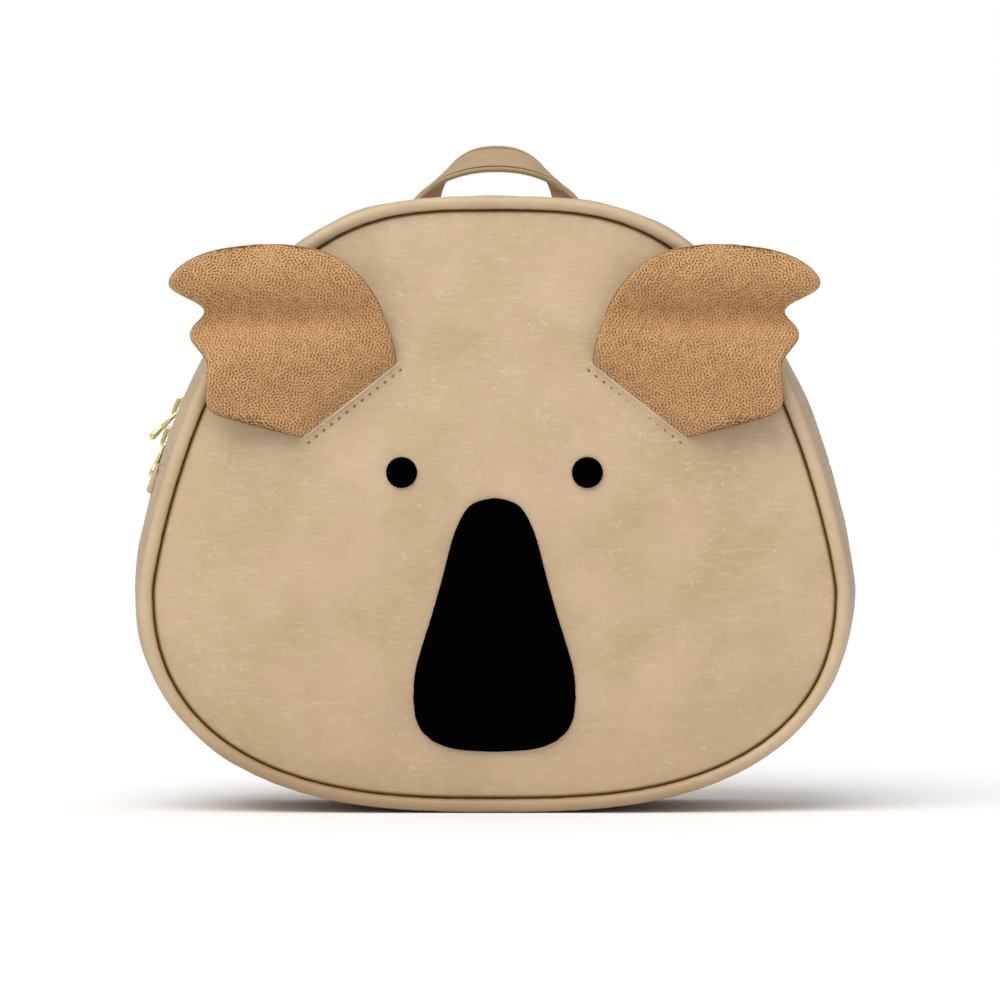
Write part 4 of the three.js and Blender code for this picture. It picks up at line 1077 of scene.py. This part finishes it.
for name, side in (("left", -1), ("right", 1)):
    points, quads, depth = ear_plush(side)
    ear = add_piece(f"ear_{name}_curls", points, quads, PLUSH, "plush", [f"ear_{name}_plush"],
                    depth=depth)
    add_piece(f"ear_{name}_leather", *ear_backing(side), LEATHER_DARK, "leather", [f"ear_{name}_back"])

# %% [markdown]
# Where an ear is sewn in, the face's leather is turned under: its edge shows as a thin bright line,
# and a row of stitches, drawn in tight, runs three millimetres beside it. The turned edge is a small
# half-round strip that rises from the face along the sewn line, in a paler copy of the face leather
# that paints the highlight along it.

# %% The sewn lines of the ears
FORWARD, BACKWARD = np.array([0, -1.0, 0]), np.array([0, 1.0, 0])
EDGE_HALF_WIDTH, EDGE_HEIGHT = 0.75, 1.0


def on_face(x, z, lift=0.0):
    """Points on the face's surface, lifted off it."""
    return np.stack([x, front_y(x, z) - lift, z + 0 * x], -1)


def sewn_line(side, beside, start=0.0, end=1.0, steps=80):
    """The sewn line of an ear on the face, moved beside itself away from the ear."""
    s = np.linspace(start, end, steps)
    spot = SEWN_FROM + (SEWN_TO - SEWN_FROM) * s[:, None]
    x = EAR["inner_corner"] + EAR["width"] * spot[:, 0]
    z = EAR["top"] - EAR["height"] * spot[:, 1]
    along = np.array([x[-1] - x[0], z[-1] - z[0]])
    along = along / np.hypot(*along)
    return side * (x + along[1] * beside), z - along[0] * beside


def turned_edge(side):
    """Half-round strip on the sewn line, thin at both ends."""
    x, z = sewn_line(side, 0.35, -0.02, 1.02, 60)
    line = on_face(x, z, -0.2)
    ahead = np.gradient(line, axis=0)
    ahead = unit(ahead)
    across = np.cross(ahead, FORWARD)
    angle = circle(10)
    taper = np.sqrt(np.sin(np.linspace(0.15, np.pi - 0.15, 60)))[:, None, None]
    ring = across[:, None] * (EDGE_HALF_WIDTH * np.cos(angle))[None, :, None]
    ring = ring + FORWARD * (EDGE_HEIGHT * np.sin(angle))[None, :, None]
    return sweep(line[:, None] + ring * taper)


rows = []
for name, side in (("left", -1), ("right", 1)):
    add_piece(f"ear_{name}_turned_edge", *turned_edge(side), LEATHER_EDGE_HIGHLIGHT, "leather")
    x, z = sewn_line(side, 3.3, -0.03, 1.03)
    rows.append(stitch_row(on_face(x, z), FORWARD, length=1.5))
add_piece("stitches_face", *join(rows), THREAD_DARK, "webbing")

# %% [markdown]
# ## Eyes and nose
# Three patches of black felt, glued and sewn down. Felt is cut with scissors, so its edge is a hair
# uneven and its top is slightly fluffy. All are grids that follow the domed face: a polar one for
# each eye, and rows of a table of widths for the nose.

# %% Felt patches
NOSE = {"width": 68, "height": 106.3, "top": 132.2}
NOSE_ROWS = np.array([
    # down, width
    (0.0, 0.02), (0.003, 0.09), (0.008, 0.165), (0.02, 0.258), (0.035, 0.32), (0.055, 0.37),
    (0.083, 0.42), (0.134, 0.49), (0.19, 0.545), (0.33, 0.655), (0.47, 0.78), (0.557, 0.867),
    (0.65, 0.955), (0.71, 0.99), (0.79, 1.0), (0.86, 0.977), (0.9, 0.93), (0.925, 0.88),
    (0.957, 0.766), (0.98, 0.61), (0.993, 0.44), (0.998, 0.25), (1.0, 0.03),
])
EYE = {"radius": 6.5, "apart": 77.7, "height": 142.9}
PATCH_THICK = 1.2


def patch(x, z, to_edge, seed):
    """A felt patch on the face: flat underneath, its top rounded off at the edge and fluffy."""
    fluff = 0.04 * lumps(x, z, 0.9, seed, 20)
    round_off = 0.7 * (1 - rounded(to_edge, 0.9))
    base = front_y(x, z)
    outer = np.stack([x, base - STAND_OFF - PATCH_THICK - fluff + round_off, z], -1)
    inner = np.stack([x, base - 0.05, z], -1)
    return outer, inner


def eye(side, turns=120, rings=24):
    """A round patch: a polar grid whose rim wavers by a few hundredths of a millimetre."""
    angle = circle(turns)[:, None]
    share = np.linspace(0, 1, rings)[None]
    radius = EYE["radius"] + 0.06 * lumps(40 * angle, 0 * angle, 9, 41)
    x = side * EYE["apart"] / 2 + radius * share * np.cos(angle)
    z = EYE["height"] + radius * share * np.sin(angle)
    return wall(*patch(x, z, radius * (1 - share), 42), ring=True, pole=True)


def nose(rows=190, columns=110):
    """The nose: half widths from the table, closer rows at the top and bottom."""
    down = eased(0, 1, rows, 1.8)[:, None]
    width = smooth_column(NOSE_ROWS, 1, down, 0.003) * NOSE["width"] / 2
    width = width * (1 + 0.002 * lumps(300 * down, 0 * down, 9, 43))
    share = eased(-1, 1, columns, 1.4)[None]
    x, z = width * share, NOSE["top"] - NOSE["height"] * down + 0 * share
    flat = np.stack([x, z], -1)
    border = np.concatenate([flat[0], flat[:, -1], flat[-1], flat[:, 0]])
    return wall(*patch(x, z, edge_distance(x, z, border.astype(np.float32)), 44))


for name, (points, quads) in (("eye_left", eye(-1)), ("eye_right", eye(1)), ("nose", nose())):
    add_piece(f"{name}_felt", points, quads, FELT, "black_felt", [name])

# %% [markdown]
# ## The handle
# A strap of doubled leather is sewn to the back and arches over the seam. Its outer face tips
# forward on top, which is why the photograph shows it. The edges are rolled: a round bead on each
# side with a groove beside it. So the section is a profile of two beads and a flat middle, carried
# along the arch and turned with it.

# %% Handle
HANDLE = {"span": 69.9, "rise": 35.3, "foot": 13, "width": 17.8, "thick": 2.3, "shift": 0.7,
          "standoff": 0.5, "bead": 0.95, "groove": 0.9}
HANDLE_TILT = math.radians(40.3)
HANDLE_ARCH_Z = SEAM_BOTTOM + FACE_HEIGHT - 6.5
HANDLE_Y = HALF_DEPTH + PIPING_RADIUS + HANDLE["standoff"] + HANDLE["thick"] / 2


def handle_twist(turn):
    """Turn of the strap about its own line, a little ahead of its way round the arch."""
    return turn + 0.17 * np.sin(2 * turn)


def handle_line(turn, drop):
    """Middle of the handle: an arch of powers of the cosine and the sine, on straight feet that go
    down to the back panel. Its front edge keeps its depth while the strap turns about it."""
    x = HANDLE["shift"] - HANDLE["span"] / 2 * push(np.cos(turn), 0.9)
    z = HANDLE_ARCH_Z + HANDLE["rise"] * np.maximum(np.sin(turn), 0) ** 0.924 - drop
    foot_y = back_y(x, z) + HANDLE["standoff"] + HANDLE["thick"] / 2
    arch_y = HANDLE_Y + HANDLE["width"] / 2 * np.sin(handle_twist(turn)) * np.cos(HANDLE_TILT)
    y = arch_y + (foot_y - arch_y) * smoothstep(drop, 0, HANDLE["foot"])
    return np.stack([x, y, z], -1)


def strap_profile(width, thick, bead, groove, steps=10):
    """Section of a strap with rolled edges, as across, out and a depth value that paints shade into the
    groove: a round bead at each side, a narrow groove beside it, and a flat middle. The underside is
    plain."""
    half, high = width / 2, thick / 2
    angle = np.linspace(-np.pi / 2, np.pi * 0.8, steps)
    edge = np.stack([half - bead + bead * np.cos(angle), (high + 0.1) * np.sin(angle), 0 * angle], -1)
    inside = half - 2 * bead
    dip = np.array([(inside + 0.1, high - groove * 0.6, 0.9), (inside - 0.15, high - groove, 1),
                    (inside - 0.4, high - groove * 0.5, 0.9), (inside - 0.7, high, 0)])
    top = np.linspace(inside - 1.4, 1.4 - inside, 7)
    top = np.stack([top, high + 0 * top, 0 * top], -1)
    right = np.concatenate([edge, dip])
    return np.concatenate([right, top, right[::-1] * [-1, 1, 1]])


def handle_frame(steps=150, foot_steps=12):
    """Middle line, direction across and direction out of the handle, from foot to foot."""
    foot = np.linspace(HANDLE["foot"], 0, foot_steps, endpoint=False)
    turn = np.concatenate([0 * foot, np.linspace(0, np.pi, steps), np.pi + 0 * foot])
    drop = np.concatenate([foot, np.zeros(steps), foot[::-1]])
    line = handle_line(turn, drop)
    twist = handle_twist(turn)
    across = np.stack([np.cos(twist), np.sin(twist) * np.cos(HANDLE_TILT),
                       np.sin(twist) * np.sin(HANDLE_TILT)], -1)
    along = np.gradient(line, axis=0)
    along = unit(along)
    out = np.cross(along, across)
    return line, across, unit(out)


line, across, out = handle_frame()
profile = strap_profile(HANDLE["width"], HANDLE["thick"], HANDLE["bead"], HANDLE["groove"])
sections = line[:, None] + across[:, None] * profile[None, :, 0:1]
sections = sections + out[:, None] * profile[None, :, 1:2]
# Painted shade: the depth value paints the grooves beside the beads dark brown.
groove = np.tile(profile[:, 2], len(line) + 2)
add_piece("handle_leather", *sweep(sections), LEATHER_HANDLE, "leather", ["handle"], depth=groove)

# %% [markdown]
# ## The side tab
# At the left end of the zip a short folded tongue of leather gives the fingers something to hold
# while the zip is pulled. It lifts off the band towards its free end.

# %% Side tab
TAB = {"length": 12.6, "half width": 7.5, "y": -12}


def side_tab(rows=24, columns=36):
    """A tongue over the band: it starts flat at the join, thickens and lifts to its free end, and
    its edges are round."""
    share = np.linspace(0, 1, rows)[:, None]
    across = eased(-TAB["half width"], TAB["half width"], columns)[None]
    y = TAB["y"] + across * (1 - 0.12 * share)
    run = ZIP_TO + SEAM_GAP + TAB["length"] * share + 0 * y
    edge = np.minimum(TAB["half width"] - np.abs(across), TAB["length"] * (1 - share) + 0.01)
    high = 0.25 + (0.55 + 1.2 * share) * rounded(edge, 0.9)
    outer = seam_point(run, gusset_out(run, y) + SEAM_GAP + high, y)
    inner = seam_point(run, gusset_out(run, y) + 0.1 + 0 * high, y)
    return wall(outer, inner)


add_piece("side_tab_leather", *side_tab(), LEATHER, "leather", ["side_tab"])

# %% [markdown]
# ## The shoulder straps
# The photograph hides the straps, so they are of the usual kind: a padded leather pad above, then a
# gold slide and woven webbing that ends in a leather patch near the lower corner. Each strap follows
# one bowed line behind the bag, and every part of it is placed by its share of the way down.

# %% The line of a strap
STRAP = {"top_x": 39, "foot_x": 83, "top": 226, "foot": 46, "bow": 36}
STRAP_LENGTH = 190
PAD = {"share": 0.62, "width": 32, "thick": 7, "stitches from edge": 2.4}
WEB = {"width": 20, "thick": 1.6}


def strap_line(side, share, lift):
    """Middle of a strap: it moves outwards on a smooth step, goes down evenly, and bows away from
    the back with the square of a sine."""
    x = side * (STRAP["top_x"] + (STRAP["foot_x"] - STRAP["top_x"]) * smoothstep(share, 0, 1))
    z = STRAP["top"] + (STRAP["foot"] - STRAP["top"]) * share
    bow = STRAP["bow"] * np.sin(np.pi * np.clip(share, 0, 1)) ** 2
    return np.stack([x, back_y(x, z) + STAND_OFF + lift + bow, z], -1)


def strap_frame(side, share):
    """Directions along a strap, across it and out of its outer face."""
    ahead, behind = np.minimum(share + 0.01, 1), np.maximum(share - 0.01, 0)
    along = unit(strap_line(side, ahead, 0) - strap_line(side, behind, 0))
    across = np.array([1.0, 0, 0]) - along[..., 0:1] * along
    across = unit(across)
    out = np.cross(across, along)
    return along, across, out * np.sign(out[..., 1:2])


# %% [markdown]
# A pad is a flat tube of leather round a strip of foam. It starts from a formula, thin at the sewn
# border and crowned as the foam is. Then Blender's cloth rounds it: the border is pinned, pressure
# pushes the two faces apart for twenty frames without gravity, and each point may move only a few
# millimetres. The result is put back into the mesh, so no cloth is left for the render to wait for.

# %% Round a pad with cloth
PRESSURE, PAD_CAP, CLOTH_FRAMES = 16.0, 3.2, 20


CLOTH = {"quality": 6, "mass": 0.15, "tension_stiffness": 8, "compression_stiffness": 8,
         "bending_stiffness": 0.4, "use_pressure": True, "uniform_pressure_force": PRESSURE,
         "vertex_group_mass": "sewn"}


def inflate(points, quads, pinned, cap):
    """Runs cloth on a closed thin form and returns its points, none moved further than the cap."""
    mesh = bpy.data.meshes.new("pad_cloth")
    mesh.from_pydata((points * MM).tolist(), [], quads.tolist())
    cloth_object = new_object("pad_cloth", mesh)
    group = cloth_object.vertex_groups.new(name="sewn")
    group.add(np.flatnonzero(pinned).tolist(), 1.0, "REPLACE")
    cloth = cloth_object.modifiers.new("Cloth", "CLOTH")
    for key, value in CLOTH.items():
        setattr(cloth.settings, key, value)
    cloth.settings.effector_weights.gravity = 0
    cloth.point_cache.frame_start, cloth.point_cache.frame_end = 1, CLOTH_FRAMES
    for step in range(1, CLOTH_FRAMES + 1):
        bpy.context.scene.frame_set(step)
    shown = cloth_object.evaluated_get(bpy.context.evaluated_depsgraph_get()).to_mesh()
    moved = np.zeros(len(points) * 3)
    shown.vertices.foreach_get("co", moved)
    moved = moved.reshape(-1, 3) / MM - points
    bpy.data.objects.remove(cloth_object)
    bpy.context.scene.frame_set(1)
    size = np.linalg.norm(moved, axis=1, keepdims=True)
    print("pad moved by up to", size.max().round(2), "mm")
    return points + moved * np.minimum(1, cap / np.maximum(size, 1e-6))


def pad(side, rows=110, columns=30):
    """A pad's two faces: half the thickness rises in soft steps from the sewn border."""
    s = eased(0, PAD["share"], rows, 1.2)[:, None]
    w = eased(-1, 1, columns, 1.3)[None]
    end = np.minimum(s, PAD["share"] - s) * STRAP_LENGTH
    side_edge = (1 - np.abs(w)) * PAD["width"] / 2
    edge = np.minimum(end, side_edge)
    _, across, out = strap_frame(side, s + 0 * w)
    corner = 1 - 0.09 * np.clip(1 - end / 5, 0, 1) ** 2
    middle = strap_line(side, s + 0 * w, PAD["thick"] / 2)
    middle = middle + across * (w * corner * PAD["width"] / 2)[..., None]
    high = 0.7 + 0.9 * smoothstep(edge, 2.5, 6) + 1.4 * smoothstep(edge, 3, 11)
    rise = out * high[..., None]
    points, quads = wall(middle + rise, middle - rise)
    border = np.concatenate([(edge < 3.2).ravel()] * 2)
    points = inflate(points, quads, border, PAD_CAP)
    return points, quads


def pad_stitches(side):
    """A row of stitches on the sewn border of a pad's outer face."""
    s = np.linspace(0.012, PAD["share"] - 0.012, 160)
    _, across, out = strap_frame(side, s)
    line = strap_line(side, s, PAD["thick"] / 2) + out * 0.8
    across = across * (PAD["width"] / 2 - PAD["stitches from edge"])
    return join([stitch_row(line + across * edge, out) for edge in (-1, 1)])


for name, side in (("left", -1), ("right", 1)):
    points, quads = pad(side)
    piece = add_piece(f"strap_{name}_pad", points, quads, LEATHER, "leather", [f"strap_pad_{name}"])
    finish = piece.modifiers.new("smooth", "SUBSURF")
    finish.levels = finish.render_levels = 1
    add_piece(f"stitches_strap_{name}", *pad_stitches(side), THREAD, "webbing")

# %% [markdown]
# The webbing leaves the pad, dips behind the slide's outer bars, rides over its middle bar, and goes
# down to the patch. The slide is a flattened ring with one bar across. Both are sweeps: a flat
# section along the strap's own line, and a round one along a rounded rectangle.

# %% Webbing, slides and foot patches
SLIDE = {"length": 15, "width": 27, "thick": 3, "bar": 2.6, "lift": 2.05, "middle bar radius": 1.2}
FOOT = {"top width": 27, "low width": 17.5, "height": 24, "below strap end": 0.6}
STRAP_DROP = STRAP["top"] - STRAP["foot"]


def slide_share(side):
    """Share of the way down at the slide's middle, half its length below the pad."""
    here = np.array([PAD["share"] + SLIDE["length"] / (2 * STRAP_DROP)])
    along = strap_frame(side, here)[0][0]
    per_mm = abs(along[2]) / STRAP_DROP
    return PAD["share"] + (SLIDE["length"] / 2 + 0.6) * per_mm, per_mm


def webbing(side, rows=260):
    """Flat webbing from inside the pad's end to under the foot patch, lifted over the slide's
    middle bar by a bell curve."""
    at, per_mm = slide_share(side)
    share = np.linspace(PAD["share"] - 8 * per_mm, 1.03, rows)
    away = np.abs(share - at) / per_mm
    lift = 1.25 + 3.2 * np.exp(-((away / 2.6) ** 2)) - 1.5 * np.exp(-(((away - 6.8) / 2.4) ** 2))
    lift = np.where(share < PAD["share"], PAD["thick"] / 2, lift)
    lift = np.convolve(np.pad(lift, 4, mode="edge"), np.ones(9) / 9, mode="valid")
    _, across, out = strap_frame(side, np.minimum(share, 1))
    middle = strap_line(side, share, 0) + out * lift[:, None]
    half, high = WEB["width"] / 2, WEB["thick"] / 2
    side_wall = np.array([(-1, -0.5), (-0.97, -1), (-0.5, -1), (0, -1), (0.5, -1), (0.97, -1), (1, -0.5)])
    flat = np.concatenate([side_wall, -side_wall, side_wall[:1]])
    ring = across[:, None] * (half * flat[None, :, 0:1]) + out[:, None] * (high * flat[None, :, 1:2])
    sections = close_ends(middle[:, None] + ring)
    run = np.append(0, np.cumsum(np.linalg.norm(np.diff(sections.mean(1), axis=0), axis=1)))
    cut = np.stack(np.broadcast_arrays(half * flat[None, :, 0], run[:, None]), -1).reshape(-1, 2)
    return sections.reshape(-1, 3), grid_quads(len(sections), len(flat)), cut


def slide(side):
    """A ring with a bar: a round-cornered rectangle as the line, a flattened circle as the section."""
    at, _ = slide_share(side)
    along, across, out = (v[0] for v in strap_frame(side, np.array([at])))
    centre = strap_line(side, np.array([at]), 0)[0] + out * SLIDE["lift"]
    half_w, half_l = (SLIDE["width"] - SLIDE["bar"]) / 2, (SLIDE["length"] - SLIDE["bar"]) / 2
    turn = circle(96)
    line = np.stack([half_w * push(np.cos(turn), 0.35), half_l * push(np.sin(turn), 0.35)], -1)
    ahead = np.roll(line, -1, 0) - np.roll(line, 1, 0)
    ahead = unit(ahead)
    normal = np.stack([ahead[:, 1], -ahead[:, 0]], -1)
    angle = circle(12)
    wide = SLIDE["bar"] / 2 * push(np.cos(angle), 0.35)
    high = SLIDE["thick"] / 2 * push(np.sin(angle), 0.35)
    flat = line[:, None] + normal[:, None] * wide[None, :, None]

    def place(flat, up):
        up = np.broadcast_to(up, flat.shape[:2])
        return centre + across * flat[..., 0:1] + along * flat[..., 1:2] + out * up[..., None]

    radius = SLIDE["middle bar radius"]
    x = np.linspace(-half_w, half_w, 20)[:, None]
    middle_bar = np.stack(np.broadcast_arrays(x, radius * np.cos(angle)[None]), -1)
    return join([sweep(place(flat, high), ring=True), sweep(place(middle_bar, radius * np.sin(angle)))])


def foot_place(side, down, share):
    """Half width, x and z of a place on a foot patch, from its shares down and across."""
    wide = (FOOT["top width"] + (FOOT["low width"] - FOOT["top width"]) * down) / 2
    z = STRAP["foot"] - FOOT["below strap end"] - FOOT["height"] * down + 0 * share
    return wide, side * STRAP["foot_x"] + wide * share, z


def foot_patch(side, rows=40, columns=40):
    """Leather patch that narrows downwards, thicker at its top where it covers the webbing's end."""
    down = eased(0, 1, rows)[:, None]
    share = eased(-1, 1, columns)[None]
    wide, x, z = foot_place(side, down, share)
    edge = np.minimum((1 - np.abs(share)) * wide, np.minimum(down, 1 - down) * FOOT["height"])
    over_webbing = (1 - smoothstep(down, 0.1, 0.5)) * (1 - smoothstep(np.abs(share) * wide, 9, 12.5))
    high = 1.9 + 1.2 * over_webbing
    high = high * rounded(edge, 1.3)
    base = back_y(x, z)
    return wall(np.stack([x, base + 0.3 + high, z], -1), np.stack([x, base + 0.1, z], -1))


def patch_stitches(side):
    """Stitches round a foot patch, inside its edge."""
    down = np.array([0.1, 0.9, 0.9, 0.1, 0.1])
    share = np.array([-1, -1, 1, 1, -1]) * 0.8
    s = np.linspace(0, 4, 200)
    down, share = np.interp(s, range(5), down), np.interp(s, range(5), share)
    _, x, z = foot_place(side, down, share)
    return stitch_row(np.stack([x, back_y(x, z) + 2.25, z], -1), BACKWARD, 3.2, 2.3)


for name, side in (("left", -1), ("right", 1)):
    points, quads, cut = webbing(side)
    add_piece(f"strap_{name}_webbing", points, quads, WEBBING, "webbing", [f"strap_web_{name}"], uv=cut)
    add_piece(f"strap_{name}_slide", *slide(side), GOLD, "gold_metal", [f"strap_slide_{name}"])
    add_piece(f"strap_{name}_patch", *foot_patch(side), LEATHER_DARK, "leather", [f"strap_foot_{name}"])
    add_piece(f"stitches_patch_{name}", *patch_stitches(side), THREAD, "webbing")

# %% [markdown]
# ## Floor and light
# The photograph is a studio shot on pure white: broad soft light from all round, a little stronger
# from above left, so the right and the underside are only slightly deeper. A pale world gives the
# broad light, and a very wide sun the direction. It lights the floor evenly, so floor and background
# meet without a line.

# %% Floor, lamp and world
SKY_STRENGTH = 0.6
SUN_STRENGTH, SUN_SOFTNESS = 2.1, math.radians(50)
SUN_FROM = (-0.24, -0.52, 0.82)

FLOOR_REACH = 9000
floor_points = np.array([(-1, -1, 0), (1, -1, 0), (1, 1, 0), (-1, 1, 0)]) * float(FLOOR_REACH)
floor_mesh = bpy.data.meshes.new("floor")
floor_mesh.from_pydata((floor_points * MM).tolist(), [], [(0, 1, 2, 3)])
floor = new_object("floor", floor_mesh)
floor_material, _, _ = new_material("floor_white", Base_Color=(0.93, 0.93, 0.93, 1), Roughness=0.9,
                                    Specular_IOR_Level=0.1)
floor_mesh.materials.append(floor_material)

sun_data = bpy.data.lights.new("soft_sun", "SUN")
sun_data.energy, sun_data.angle = SUN_STRENGTH, SUN_SOFTNESS
sun = new_object("soft_sun", sun_data)
sun.rotation_euler = Vector(SUN_FROM).to_track_quat("Z", "Y").to_euler()

world = bpy.data.worlds.new("studio")
bpy.context.scene.world = world
world.use_nodes = True
tree = world.node_tree
seen = add_node(tree, "LightPath").outputs["Is Camera Ray"]
strength = spread(tree, seen, 0.0, 1.0, SKY_STRENGTH, 1.0)
tree.nodes["Background"].inputs["Color"].default_value = (1, 1, 1, 1)
tree.links.new(strength, tree.nodes["Background"].inputs["Strength"])
bpy.context.scene.view_settings.view_transform = "Standard"
print("light from", SUN_FROM, "over a sky of", SKY_STRENGTH)
